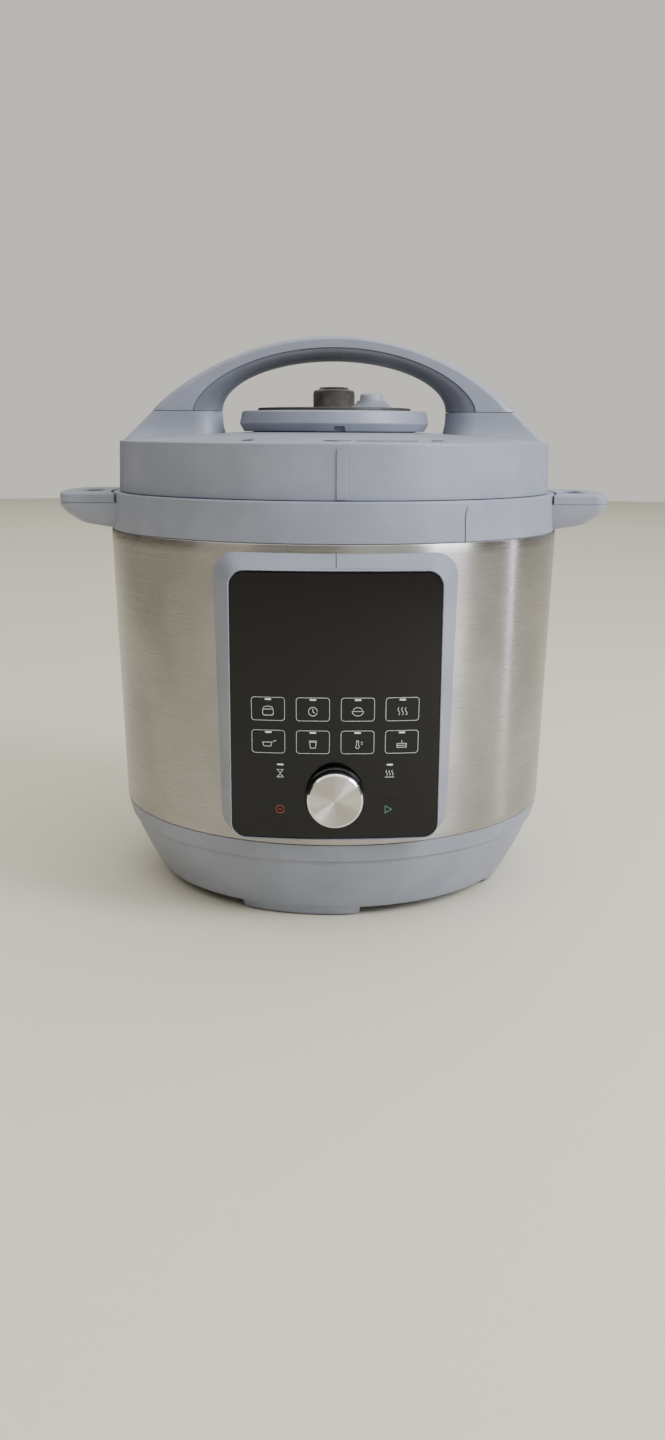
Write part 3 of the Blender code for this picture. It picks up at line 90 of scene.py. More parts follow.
BODY_R = STEEL_HIGH.x
BODY_TAPER = 0.0015
STEEL_T = 0.0008
WALL = 0.0025
Z_STEEL = STEEL_LOW.z
Z_STEEL_TOP = STEEL_HIGH.z
Z_RING = Z_STEEL_TOP + GAP
Z_RING_TOP = RING_HIGH.z
LID_R = LID_HIGH.x
LID_DRAFT = 0.0014
LID_T = 0.0026
LID_CROWN = 0.0054
Z_LID = LID_LOW.z
Z_PARTING = LID_HIGH.z
Z_LID_EDGE = Z_LID + 0.0285
DECK_R = DECK_HIGH.x
SPIGOT_R = DECK_R - 0.0081
Z_DECK = Z_LID_EDGE + LID_CROWN + GAP
Z_DECK_TOP = DECK_HIGH.z
PLATE_R = 0.0466
Z_PLATE_TOP = Z_DECK_TOP + 0.0018
COLLAR_R = 0.0135
COLLAR_BORE = 0.0074
VALVE_HOLE = 0.0074
PIPE_HOLE = 0.0043
FLOAT_HOLE = 0.0030
VALVE_XY = (0.0, (VALVE_LOW.y + VALVE_HIGH.y) / 2)
BUTTON_XY = ((BUTTON_LOW.x + BUTTON_HIGH.x) / 2, (BUTTON_LOW.y + BUTTON_HIGH.y) / 2)
FLOAT_XY = (-BUTTON_XY[0], BUTTON_XY[1])
ARCH_HALF = COVER_HIGH.x
ARCH_RISE = COVER_HIGH.z - Z_PARTING - GAP
ARCH_HALF_D = COVER_HIGH.y
EDGE_HALF = GRIP_HIGH.x
EDGE_RISE = GRIP_HIGH.z - Z_PARTING - GAP
HOLE_HALF = EDGE_HALF - 0.0166
HOLE_RISE = 0.0281
BOSS_FLARE = 0.0045
PANEL_FRONT = -FASCIA_LOW.y
PANEL_CURVE = 0.325
FASCIA_HALF = FASCIA_HIGH.x
FASCIA_T = 0.003
FASCIA_CORNER = 0.008
Z_FASCIA = FASCIA_LOW.z
Z_FASCIA_TOP = FASCIA_HIGH.z
BEZEL_CORNER = 0.0135
TUNNEL_IN = 0.0060
TUNNEL_T = 0.002
Z_KNOB = (KNOB_LOW.z + KNOB_HIGH.z) / 2
KNOB_R = KNOB_HIGH.x
FACE_R = FACE_HIGH.x
PROGRAM_KEYS = [f"program_key_{i}" for i in range(1, 9)]
SOFT_KEYS = ["delay_start_key", "keep_warm_key", "cancel_key", "start_key"]


# ---- Properties: the sizes and colours a user would change
def length(name, description, default):
    return bpy.props.FloatProperty(name=name, description=description, default=default,
                                   unit="LENGTH", precision=5)


def hex_colour(name, description, default):
    return bpy.props.StringProperty(name=name, description=description, default=default)


class CookerSizes(bpy.types.PropertyGroup):
    """Small sizes of the visible shapes."""
    edge_round: length("Moulded edge", "Rounding of the plastic's outer edges", 0.0006)
    lid_round: length("Lid shoulder", "Rounding between the lid's wall and its top", 0.0012)
    strip_width: length("Lid strip", "Width of the raised strip on the lid's front", 0.0055)
    strip_height: length("Strip height", "How far the strip stands from the lid's wall", 0.0008)
    ink_width: length("Ink line", "Width of the printed lines", 0.00036)
    ink_height: length("Ink height", "Thickness of the printed lines", 0.00004)
    key_inset: length("Key frame", "Printed frame inside the key's edge", 0.00045)
    light_width: length("Light width", "Width of a key's signal light", 0.0036)
    light_height: length("Light height", "Height of a key's signal light", 0.0009)


class CookerColours(bpy.types.PropertyGroup):
    """Colours, as sRGB hex values."""
    plastic: hex_colour("Plastic", "Moulded grey plastic", "8D92A0")
    grip: hex_colour("Grip", "Grip insert", "6F737C")
    steel: hex_colour("Steel", "Brushed stainless steel", "ABA8A5")
    polished: hex_colour("Pressed steel", "Pot, liner and lid disc", "D0CDC8")
    fascia: hex_colour("Fascia", "Back-painted panel", "060608")
    knob: hex_colour("Knob", "Knob's plastic body", "141416")
    metal: hex_colour("Aluminium", "Knob's turned face", "DAD7D2")
    dark: hex_colour("Dark plastic", "Deck plate and covers", "3A3836")
    valve: hex_colour("Valve", "Steam valve", "7B766E")
    print_white: hex_colour("White ink", "Frames and marks", "C9CCD2")
    print_red: hex_colour("Red ink", "Mark of the cancel key", "B8483C")
    print_green: hex_colour("Green ink", "Mark of the start key", "5E8A78")
    signs: hex_colour("Lid signs", "Darker grey of the signs on the lid", "6E7179")
    floor: hex_colour("Floor", "Counter under the cooker", "D9D4C2")


class CookerStage(bpy.types.PropertyGroup):
    """Camera and light."""
    distance: length("Camera distance", "From the cooker's axis to the camera", 0.8181)
    height: length("Camera height", "Camera above the counter", 0.2753)
    aside: length("Camera aside", "Camera to the right of the axis", -0.0082)
    pitch: bpy.props.FloatProperty(name="Pitch", description="How far the camera looks down",
                                   default=math.radians(20.632), subtype="ANGLE")
    yaw: bpy.props.FloatProperty(name="Yaw", description="How far the camera looks left",
                                 default=math.radians(-0.612), subtype="ANGLE")
    roll: bpy.props.FloatProperty(name="Roll", description="How far the camera leans",
                                  default=math.radians(0.307), subtype="ANGLE")
    lens: bpy.props.FloatProperty(name="Lens", description="Focal length on a 36 mm frame",
                                  default=31.11, subtype="DISTANCE_CAMERA")
    rise: bpy.props.FloatProperty(name="Shift", description="Upward shift of the frame",
                                  default=0.1253)
    light: bpy.props.FloatProperty(name="Light", description="Strength of all the lamps",
                                   default=1.0)


# ---- Materials
MM = 0.001


def linear(code):
    """sRGB hex code to a linear colour."""
    parts = [int(code[i:i + 2], 16) / 255 for i in (0, 2, 4)]
    return [c / 12.92 if c <= 0.04045 else ((c + 0.055) / 1.055) ** 2.4 for c in parts] + [1.0]


def add_node(tree, kind, settings=None, inputs=None):
    """Add a node with its own settings, and values or other nodes' outputs for its inputs."""
    node = tree.nodes.new("ShaderNode" + kind)
    for name, value in (settings or {}).items():
        setattr(node, name, value)
    for name, value in (inputs or {}).items():
        if isinstance(value, bpy.types.NodeSocket):
            tree.links.new(value, node.inputs[name])
        else:
            node.inputs[name].default_value = value
    return node


def new_material(name, colour, roughness, metallic=0.0, **values):
    """A new Principled material under that name."""
    material = bpy.data.materials.new(name)
    material.use_nodes = True
    tree = material.node_tree
    shader = tree.nodes["Principled BSDF"]
    shader.inputs["Base Color"].default_value = linear(colour)
    shader.inputs["Roughness"].default_value = roughness
    shader.inputs["Metallic"].default_value = metallic
    for socket, value in values.items():
        shader.inputs[socket.replace("_", " ")].default_value = value
    return material, tree, shader


def once(build):
    """Build each finish one time and share it."""
    made = {}

    def shared(*args):
        if args not in made:
            made[args] = build(*args)
        return made[args]
    return shared


def add_grain(tree, shader, grain_mm, depth_mm, low, high, stretch=(1.0, 1.0, 1.0)):
    """Fine grain as bump and as a spread of roughness, by its real size."""
    place = add_node(tree, "TexCoord").outputs["Object"]
    spread = [s / (grain_mm * MM) for s in stretch]
    scaled = add_node(tree, "VectorMath", {"operation": "MULTIPLY"}, {0: place, 1: spread})
    noise = add_node(tree, "TexNoise", None,
                     {"Vector": scaled.outputs["Vector"], "Scale": 1.0, "Detail": 2.0})
    bump = add_node(tree, "Bump", None, {"Height": noise.outputs["Fac"], "Strength": 1.0,
                                         "Distance": depth_mm * MM})
    rough = add_node(tree, "MapRange", None, {"Value": noise.outputs["Fac"], "From Min": 0.3,
                                              "From Max": 0.7, "To Min": low, "To Max": high})
    tree.links.new(bump.outputs["Normal"], shader.inputs["Normal"])
    tree.links.new(rough.outputs["Result"], shader.inputs["Roughness"])
    return noise.outputs["Fac"], bump


def tint(tree, shader, colour, other, patch_mm, low=0.42, high=0.62):
    """Drift of the base colour towards another one, in soft patches."""
    place = add_node(tree, "TexCoord").outputs["Object"]
    patch = add_node(tree, "TexNoise", None,
                     {"Vector": place, "Scale": 1 / (patch_mm * MM), "Detail": 3.0})
    share = add_node(tree, "MapRange", None, {"Value": patch.outputs["Fac"], "From Min": low,
                                              "From Max": high})
    mixed = add_node(tree, "Mix", {"data_type": "RGBA"},
                     {"Factor": share.outputs["Result"], "A": linear(colour), "B": linear(other)})
    tree.links.new(mixed.outputs["Result"], shader.inputs["Base Color"])


def shade(code, factor):
    """The same colour, lighter or darker."""
    parts = [min(255, max(0, round(int(code[i:i + 2], 16) * factor))) for i in (0, 2, 4)]
    return "".join(f"{part:02X}" for part in parts)


@once
def textured_abs():
    """ABS from a spark-eroded mould: a soft sheen, broken up by a pebbled grain.

    The mould's grain is about 0.1 mm and is drawn at 0.5 mm so that it shows.
    """
    colours = bpy.context.scene.cooker_colours
    material, tree, shader = new_material("textured_ABS", colours.plastic, 0.42, IOR=1.54)
    add_grain(tree, shader, 0.5, 0.006, 0.38, 0.47)
    tint(tree, shader, shade(colours.plastic, 0.975), shade(colours.plastic, 1.02), 30)
    return material


@once
def matt_grip():
    """Polypropylene grip from a sandblasted mould: flatter and a little darker than the ABS."""
    colours = bpy.context.scene.cooker_colours
    material, tree, shader = new_material("sandblasted_polypropylene", colours.grip, 0.52,
                                          IOR=1.49)
    add_grain(tree, shader, 0.4, 0.010, 0.48, 0.58)
    tint(tree, shader, shade(colours.grip, 0.96), shade(colours.grip, 1.02), 25)
    return material


@once
def brushed_stainless():
    """Stainless sheet brushed round the body: it smears what it mirrors into upright bands.

    The abrasive leaves lines about 0.05 mm apart, drawn at 0.25 mm so that they show.
    """
    colours = bpy.context.scene.cooker_colours
    material, tree, shader = new_material("brushed_stainless_steel", colours.steel, 0.30, 1.0,
                                          Anisotropic=0.95, Anisotropic_Rotation=0.25)
    add_grain(tree, shader, 0.25, 0.003, 0.25, 0.33, (0.006, 0.006, 1.0))
    around = add_node(tree, "Tangent", {"direction_type": "RADIAL", "axis": "Z"})
    tree.links.new(around.outputs["Tangent"], shader.inputs["Tangent"])
    tint(tree, shader, shade(colours.steel, 0.95), shade(colours.steel, 1.04), 60)
    return material


@once
def drawn_stainless():
    """Deep-drawn stainless steel, polished on a lathe: fine rings and soft reflections."""
    colours = bpy.context.scene.cooker_colours
    material, tree, shader = new_material("drawn_stainless_steel", colours.polished, 0.22, 1.0,
                                          Anisotropic=0.5, Anisotropic_Rotation=0.25)
    place = add_node(tree, "TexCoord").outputs["Object"]
    flat = add_node(tree, "VectorMath", {"operation": "MULTIPLY"}, {0: place, 1: (1, 1, 0)})
    reach = add_node(tree, "VectorMath", {"operation": "LENGTH"}, {0: flat.outputs["Vector"]})
    split = add_node(tree, "SeparateXYZ", None, {"Vector": place})
    rings = add_node(tree, "CombineXYZ", None,
                     {"X": reach.outputs["Value"], "Y": split.outputs["Z"]})
    noise = add_node(tree, "TexNoise", {"noise_dimensions": "2D"},
                     {"Vector": rings.outputs["Vector"], "Scale": 1 / (0.5 * MM), "Detail": 3.0})
    bump = add_node(tree, "Bump", None, {"Height": noise.outputs["Fac"], "Strength": 0.6,
                                         "Distance": 0.004 * MM})
    rough = add_node(tree, "MapRange", None, {"Value": noise.outputs["Fac"], "From Min": 0.3,
                                              "From Max": 0.7, "To Min": 0.17, "To Max": 0.30})
    around = add_node(tree, "Tangent", {"direction_type": "RADIAL", "axis": "Z"})
    tree.links.new(bump.outputs["Normal"], shader.inputs["Normal"])
    tree.links.new(rough.outputs["Result"], shader.inputs["Roughness"])
    tree.links.new(around.outputs["Tangent"], shader.inputs["Tangent"])
    return material


@once
def painted_acrylic():
    """Acrylic sheet painted black on its back: deep gloss with a faint haze of handling."""
    colours = bpy.context.scene.cooker_colours
    material, tree, shader = new_material("back_painted_acrylic", colours.fascia, 0.07, IOR=1.49,
                                          Specular_IOR_Level=0.38)
    place = add_node(tree, "TexCoord").outputs["Object"]
    haze = add_node(tree, "TexNoise", None, {"Vector": place, "Scale": 1 / (18 * MM),
                                             "Detail": 5.0, "Roughness": 0.65})
    rough = add_node(tree, "MapRange", None, {"Value": haze.outputs["Fac"], "From Min": 0.42,
                                              "From Max": 0.72, "To Min": 0.05, "To Max": 0.13})
    tree.links.new(rough.outputs["Result"], shader.inputs["Roughness"])
    return material


@once
def printed_ink(name, code):
    """Screen-printed ink: a flat, slightly uneven film, about 0.04 mm thick."""
    material, tree, shader = new_material(name, code, 0.55, IOR=1.5)
    tint(tree, shader, shade(code, 0.88), code, 0.8)
    add_grain(tree, shader, 0.12, 0.002, 0.48, 0.62)
    return material


@once
def light_window():
    """Milky polycarbonate over a key's signal light, unlit: it glows a little with any light."""
    material, tree, shader = new_material("milky_polycarbonate", "E4E6E8", 0.35, IOR=1.58,
                                          Subsurface_Weight=0.3)
    shader.inputs["Subsurface Radius"].default_value = (0.0006, 0.0006, 0.0006)
    add_grain(tree, shader, 0.2, 0.002, 0.3, 0.42)
    return material


@once
def gloss_abs():
    """Black ABS from a polished mould, with fine hairlines from wiping."""
    colours = bpy.context.scene.cooker_colours
    material, tree, shader = new_material("polished_black_ABS", colours.knob, 0.16, IOR=1.54)
    add_grain(tree, shader, 0.8, 0.002, 0.12, 0.24, (1.0, 0.15, 1.0))
    return material


@once
def turned_aluminium():
    """Aluminium faced on a lathe: rings 0.25 mm apart, which throw bright radial fans."""
    colours = bpy.context.scene.cooker_colours
    material, tree, shader = new_material("lathe_turned_aluminium", colours.metal, 0.40, 1.0,
                                          Anisotropic=1.0, Anisotropic_Rotation=0.25)
    middle = (0.0, 0.0, Z_KNOB)
    place = add_node(tree, "TexCoord").outputs["Object"]
    moved = add_node(tree, "VectorMath", {"operation": "SUBTRACT"}, {0: place, 1: middle})
    flat = add_node(tree, "VectorMath", {"operation": "MULTIPLY"},
                    {0: moved.outputs["Vector"], 1: (1, 0, 1)})
    reach = add_node(tree, "VectorMath", {"operation": "LENGTH"}, {0: flat.outputs["Vector"]})
    turns = add_node(tree, "Math", {"operation": "MULTIPLY"},
                     {0: reach.outputs["Value"], 1: math.tau / (0.25 * MM)})
    wave = add_node(tree, "Math", {"operation": "SINE"}, {0: turns.outputs["Value"]})
    bump = add_node(tree, "Bump", None, {"Height": wave.outputs["Value"], "Strength": 0.35,
                                         "Distance": 0.004 * MM})
    around = add_node(tree, "VectorMath", {"operation": "CROSS_PRODUCT"},
                      {0: flat.outputs["Vector"], 1: (0.0, 1.0, 0.0)})
    unit = add_node(tree, "VectorMath", {"operation": "NORMALIZE"},
                    {0: around.outputs["Vector"]})
    tree.links.new(bump.outputs["Normal"], shader.inputs["Normal"])
    tree.links.new(unit.outputs["Vector"], shader.inputs["Tangent"])
    return material


@once
def cut_aluminium():
    """Aluminium cut with a diamond tool: the knob's mirror-bright chamfer."""
    material, tree, shader = new_material("diamond_cut_aluminium", "F2F1EE", 0.08, 1.0)
    add_grain(tree, shader, 0.3, 0.001, 0.06, 0.12)
    return material


@once
def filled_nylon(name, code):
    """Glass-filled nylon: dark and satin, with a faintly fibrous grain."""
    material, tree, shader = new_material(name, code, 0.48, IOR=1.53)
    add_grain(tree, shader, 0.5, 0.010, 0.40, 0.55, (1.0, 0.5, 1.0))
    tint(tree, shader, shade(code, 0.90), shade(code, 1.08), 6)
    return material


@once
def frosted_silicone():
    """Translucent silicone cap: light soaks in and leaves soft, milky edges."""
    material, tree, shader = new_material("translucent_silicone", "D6DBE2", 0.30, IOR=1.43,
                                          Transmission_Weight=0.45, Subsurface_Weight=0.25)
    shader.inputs["Subsurface Radius"].default_value = (0.003, 0.003, 0.003)
    add_grain(tree, shader, 0.5, 0.004, 0.24, 0.38)
    return material


@once
def seal_silicone():
    """Moulded silicone seal: waxy and slightly see-through at its edges."""
    material, tree, shader = new_material("moulded_silicone", "D5D5D0", 0.42, IOR=1.43,
                                          Subsurface_Weight=0.4)
    shader.inputs["Subsurface Radius"].default_value = (0.004, 0.004, 0.0035)
    add_grain(tree, shader, 0.7, 0.006, 0.36, 0.50)
    return material


@once
def foot_rubber():
    """Nitrile rubber pads, matt from the mould and a little dusty."""
    material, tree, shader = new_material("nitrile_rubber", "1C1C1C", 0.80, IOR=1.52)
    add_grain(tree, shader, 0.4, 0.020, 0.72, 0.88)
    tint(tree, shader, "191919", "2B2A28", 5)
    return material


@once
def cast_aluminium():
    """Die-cast aluminium, shot-blasted: grey, with a coarse dull grain."""
    material, tree, shader = new_material("die_cast_aluminium", "A9A9A8", 0.5, 1.0)
    add_grain(tree, shader, 0.8, 0.030, 0.42, 0.60)
    return material


@once
def clear_polycarbonate():
    """Injection-moulded clear polycarbonate, polished inside and faintly frosted outside."""
    material, tree, shader = new_material("clear_polycarbonate", "EDF1F4", 0.10, IOR=1.585,
                                          Transmission_Weight=0.92)
    add_grain(tree, shader, 1.2, 0.004, 0.07, 0.16)
    return material


@once
def plated_steel():
    """Zinc-plated steel: bright, slightly blue, with fine marks from tumbling."""
    material, tree, shader = new_material("zinc_plated_steel", "BFC3C7", 0.32, 1.0)
    add_grain(tree, shader, 0.4, 0.006, 0.25, 0.42)
    return material


@once
def board_lacquer():
    """Circuit board under green solder lacquer, with the copper's weave just showing."""
    material, tree, shader = new_material("lacquered_circuit_board", "1D5A35", 0.38, IOR=1.55)
    add_grain(tree, shader, 0.6, 0.008, 0.30, 0.45, (1.0, 1.0, 0.4))
    tint(tree, shader, "184D2D", "26703F", 4)
    return material


# ---- Shape helpers
def eased(points, steps=5):
    """Row of (u, v, rounding) corners as (u, v) points, with a curve at each rounded corner."""
    line = []
    count = len(points)
    for i, (u, v, radius) in enumerate(points):
        here = Vector((u, v))
        if radius == 0:
            line.append((u, v))
            continue
        before = Vector(points[i - 1][:2]) - here
        after = Vector(points[(i + 1) % count][:2]) - here
        start = here + before * min(radius, 0.48 * before.length) / before.length
        end = here + after * min(radius, 0.48 * after.length) / after.length
        for k in range(steps + 1):
            t = k / steps
            point = start * (1 - t) ** 2 + here * 2 * t * (1 - t) + end * t * t
            line.append((point.x, point.y))
    return line


def add_loft(bm, rings, closed=False, capped=True):
    """Skin a row of equal rings of points, with end faces unless it is closed."""
    loops = [[bm.verts.new(point) for point in ring] for ring in rings]
    pairs = list(zip(loops, loops[1:]))
    if closed:
        pairs.append((loops[-1], loops[0]))
    for one, two in pairs:
        for i in range(len(one)):
            j = (i + 1) % len(one)
            bm.faces.new((one[i], one[j], two[j], two[i]))
    if capped and not closed:
        bm.faces.new(reversed(loops[0]))
        bm.faces.new(loops[-1])
    return loops


def upright(centre=(0.0, 0.0)):
    """Place the points of a turned shape about an upright axis."""
    return lambda r, a, h: (centre[0] + r * math.cos(a), centre[1] + r * math.sin(a), h)


def facing_front(radius, angle, depth):
    """Place the points of a turned shape about the knob's axis, depth along Y."""
    return (radius * math.cos(angle), depth, Z_KNOB + radius * math.sin(angle))


def add_turned(bm, line, steps=FINE, place=upright()):
    """Turn a line of (radius, height) points; ends off the axis are joined to each other."""
    turns = [math.tau * i / steps for i in range(steps)]
    rings = []
    for radius, height in line:
        angles = turns if radius > 1e-6 else [0.0]
        rings.append([bm.verts.new(place(radius, a, height)) for a in angles])
    pairs = list(zip(rings, rings[1:]))
    if len(rings[0]) > 1 and len(rings[-1]) > 1:
        pairs.append((rings[-1], rings[0]))
    for one, two in pairs:
        if len(one) == len(two) == 1:
            continue
        for i in range(steps):
            j = (i + 1) % steps
            corners = [one[i % len(one)], one[j % len(one)], two[j % len(two)], two[i % len(two)]]
            bm.faces.new(dict.fromkeys(corners))


def add_prism(bm, outline, low, high):
    """Extrude an outline of (x, y) points upwards."""
    add_loft(bm, [[(x, y, z) for x, y in outline] for z in (low, high)])


def add_block(bm, low, high):
    """A box between two corners."""
    outline = [(low[0], low[1]), (high[0], low[1]), (high[0], high[1]), (low[0], high[1])]
    add_prism(bm, outline, low[2], high[2])


def level(outline, z):
    """An outline's points at one height."""
    return [(x, y, z) for x, y in outline]


def shape(add, *args):
    """A new mesh holding one of the shapes above."""
    bm = bmesh.new()
    add(bm, *args)
    return bm


def polar(radius, azimuth):
    """Point at an azimuth from the front, positive towards +X."""
    return (radius * math.sin(azimuth), -radius * math.cos(azimuth))


def sector(inner, outer, middle, span, corner=0.0, steps=16):
    """Plan of a ring's sector, with its outer corners drawn in."""
    outside = []
    for i in range(steps + 1):
        share = 2 * i / steps - 1
        drawn_in = corner * abs(share) ** 12
        outside.append(polar(outer - drawn_in, middle + share * span / 2))
    inside = [polar(inner, middle + span / 2 - span * i / steps) for i in range(steps + 1)]
    return outside + inside


def rounded(half_w, low, high, corner, across=1, up=1, steps=8):
    """Upright rounded rectangle of (x, z), with its long edges split."""
    points = []
    corners = [(half_w - corner, high - corner), (-half_w + corner, high - corner),
               (-half_w + corner, low + corner), (half_w - corner, low + corner)]
    for index, (x, z) in enumerate(corners):
        for i in range(steps + 1):
            a = 0.5 * math.pi * (index + i / steps)
            points.append((x + corner * math.cos(a), z + corner * math.sin(a)))
        after = corners[(index + 1) % 4]
        turn = 0.5 * math.pi * (index + 1)
        end = Vector(points[-1])
        target = Vector((after[0] + corner * math.cos(turn), after[1] + corner * math.sin(turn)))
        parts = across if index in (0, 2) else up
        points += [tuple(end.lerp(target, i / parts)) for i in range(1, parts)]
    return points


def mesh_object(name, bm):
    """Turn a bmesh into an object with its faces pointing out."""
    bmesh.ops.recalc_face_normals(bm, faces=bm.faces)
    mesh = bpy.data.meshes.new(name)
    bm.to_mesh(mesh)
    bm.free()
    obj = bpy.data.objects.new(name, mesh)
    bpy.context.scene.collection.objects.link(obj)
    return obj


def turned(name, corners, steps=FINE, place=upright(), ease=5):
    """A turned piece with rounded corners."""
    return mesh_object(name, shape(add_turned, eased(corners, ease), steps, place))


def lofted(name, rings, closed=False):
    """A piece skinned over a row of rings."""
    return mesh_object(name, shape(add_loft, rings, closed))


def join(obj, add, *args):
    """Join one more shape to a piece."""
    combine(obj, shape(add, *args), "UNION")


def cut(obj, add, *args):
    """Cut one shape away from a piece."""
    combine(obj, shape(add, *args), "DIFFERENCE")


def keep_shape(obj):
    """Replace the mesh with what the modifiers make of it."""
    graph = bpy.context.evaluated_depsgraph_get()
    shaped = bpy.data.meshes.new_from_object(obj.evaluated_get(graph))
    obj.modifiers.clear()
    obj.data = shaped


def combine(obj, bm, operation):
    """Join another closed shape to a piece, or cut it away."""
    other = mesh_object("other_shape", bm)
    modifier = obj.modifiers.new(operation.lower(), "BOOLEAN")
    modifier.operation = operation
    modifier.solver = "EXACT"
    modifier.object = other
    keep_shape(obj)
    bpy.data.objects.remove(other)


def dress(obj, material, body, slot, *nodes, sharp=34, even=True):
    """Finish a piece: its material, smooth shading, and the body and nodes it belongs to."""
    obj.data.materials.clear()
    obj.data.materials.append(material)
    obj.data.shade_smooth()
    obj.data.set_sharp_from_angle(angle=math.radians(sharp))
    if even:
        weighted = obj.modifiers.new("even normals", "WEIGHTED_NORMAL")
        weighted.keep_sharp = True
    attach(obj, body)
    if nodes:
        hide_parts(*nodes)
    return obj


# ---- Surfaces that several pieces share
def steel_r(z):
    """Outside radius of the steel wrap at a height."""
    return BODY_R - BODY_TAPER * (Z_STEEL_TOP - z) / (Z_STEEL_TOP - Z_STEEL)


def steel_y(x, z):
    """Front surface of the steel wrap."""
    return -math.sqrt(steel_r(z) ** 2 - x ** 2)


def flared(x, z, share=0.0):
    """Sideways place on the panel, whose fascia widens downwards inside a narrowing bezel."""
    low = (Z_FASCIA_TOP - z) / (Z_FASCIA_TOP - Z_FASCIA)
    side = BEZEL_HIGH.x - FASCIA_HALF
    inner = FASCIA_HALF - 0.0003 + 0.0015 * low
    outer = BEZEL_HIGH.x - 0.0016 * max(0.0, low)
    return x * (inner + share * (outer - inner)) / (FASCIA_HALF + share * side)


def panel_y(x):
    """Front surface of the fascia."""
    return -PANEL_FRONT + PANEL_CURVE - math.sqrt(PANEL_CURVE ** 2 - x ** 2)


def panel_normal(point):
    """Direction out of the fascia's curved front."""
    return Vector((point.x, -math.sqrt(PANEL_CURVE ** 2 - point.x ** 2), 0)).normalized()


def lid_top_z(radius):
    """Top surface of the lid between its wall and the deck."""
    edge = LID_R - LID_DRAFT
    return Z_LID_EDGE + LID_CROWN * (1 - (radius / edge) ** 2) / (1 - (SPIGOT_R / edge) ** 2)


def arch_point(half, rise, power, angle):
    """Point (x, z) of one of the handle's curves, at an angle from its right foot."""
    return (half * math.cos(angle), Z_PARTING + GAP + rise * abs(math.sin(angle)) ** (2 * power))


def aim_normals(obj, direction, limit=0.995):
    """Give the faces that lie in a curved surface that surface's own normals."""
    mesh = obj.data
    normals = [Vector(corner.vector) for corner in mesh.corner_normals]
    for face in mesh.polygons:
        if face.normal.dot(direction(face.center)) > limit:
            for corner in face.loop_indices:
                vert = mesh.vertices[mesh.loops[corner].vertex_index]
                normals[corner] = direction(vert.co)
    mesh.normals_split_custom_set(normals)


# ---- Printed and moulded marks
def arc(u, v, reach_u, reach_v, start, end, steps=14):
    """Points of an ellipse's arc, angles in degrees."""
    angles = [math.radians(start + (end - start) * i / steps) for i in range(steps + 1)]
    return [(u + reach_u * math.cos(a), v + reach_v * math.sin(a)) for a in angles]


def wave(u, low, high, swing, steps=12):
    """Points of an upright wavy line."""
    return [(u + swing * math.sin(math.tau * i / steps), low + (high - low) * i / steps)
            for i in range(steps + 1)]


def add_stroke(bm, points, width, height, surface, closed=False, sunk=0.00002):
    """Draw a line of (u, v) points as a thin raised band on a surface."""
    count = len(points)
    sections = []
    for i, point in enumerate(points):
        here = Vector(point)
        before = Vector(points[i - 1]) if closed or i > 0 else here
        after = Vector(points[(i + 1) % count]) if closed or i < count - 1 else here
        along_in = (here - before).normalized() if here != before else (after - here).normalized()
        along_out = (after - here).normalized() if here != after else along_in
        middle = (along_in + along_out).normalized()
        side = Vector((-middle.y, middle.x))
        reach = 0.5 * width / max(0.5, middle.dot(along_out))
        left, right = here + side * reach, here - side * reach
        sections.append([surface(left.x, left.y, -sunk), surface(left.x, left.y, height),
                         surface(right.x, right.y, height), surface(right.x, right.y, -sunk)])
    add_loft(bm, sections, closed)


def key_marks():
    """Each key's mark as lines of (u, v) millimetres: (points, closed)."""
    return {
        "program_key_1": [([(-2.9, 0.9), *arc(-1.9, -1.4, 1.0, 1.0, 180, 270, 5),
                            *arc(1.9, -1.4, 1.0, 1.0, 270, 360, 5), (2.9, 0.9)], True),
                          (arc(0, 1.5, 2.6, 1.0, 0, 180), False)],
        "program_key_2": [(arc(0, -0.1, 2.4, 2.4, 0, 345, 28), False),
                          ([(0, 1.4), (0, -0.2), (1.1, -0.9)], False)],
        "program_key_3": [([*arc(0, 0.1, 3.1, 2.5, 180, 360)], True),
                          (arc(0, 0.7, 2.4, 1.5, 0, 180), False)],
        "program_key_4": [(wave(u, -2.2, 2.1, 0.5), False) for u in (-2.0, 0.0, 2.0)],
        "program_key_5": [([(-3.2, 0.7), (-2.5, -1.5), (1.3, -1.5), (2.0, 0.7)], True),
                          ([(2.4, 0.9), (4.3, 1.9)], False)],
        "program_key_6": [([(-1.9, 1.1), (-1.3, -2.2), (1.3, -2.2), (1.9, 1.1)], True),
                          ([(-2.3, 1.8), (2.3, 1.8)], False)],
        "program_key_7": [([*arc(0, -1.4, 1.0, 1.0, 125, 415, 18), (0.55, 1.9), (-0.55, 1.9)],
                           True), ([(1.9, 1.2), (2.9, 1.2)], False),
                          ([(1.9, 0.1), (2.9, 0.1)], False)],
        "program_key_8": [([(-2.6, -2.0), (2.6, -2.0), (2.6, 0.2), (-2.6, 0.2)], True),
                          ([(0, 0.7), (0, 2.0)], False), ([(-2.6, -0.9), (2.6, -0.9)], False)],
        "delay_start_key": [([(-1.7, 1.2), (1.7, 1.2), (0, -0.7)], True),
                            ([(-1.7, -3.1), (1.7, -3.1), (0, -1.2)], True)],
        "keep_warm_key": [([(-2.6, -3.0), (2.6, -3.0)], False)]
        + [(wave(u, -2.1, 1.0, 0.4), False) for u in (-1.6, 0.0, 1.6)],
        "cancel_key": [(arc(0, 0, 2.3, 2.3, 0, 345, 28), False), ([(-0.95, 0), (0.95, 0)], False)],
        "start_key": [([(-1.5, 2.1), (2.1, 0), (-1.5, -2.1)], True)],
    }


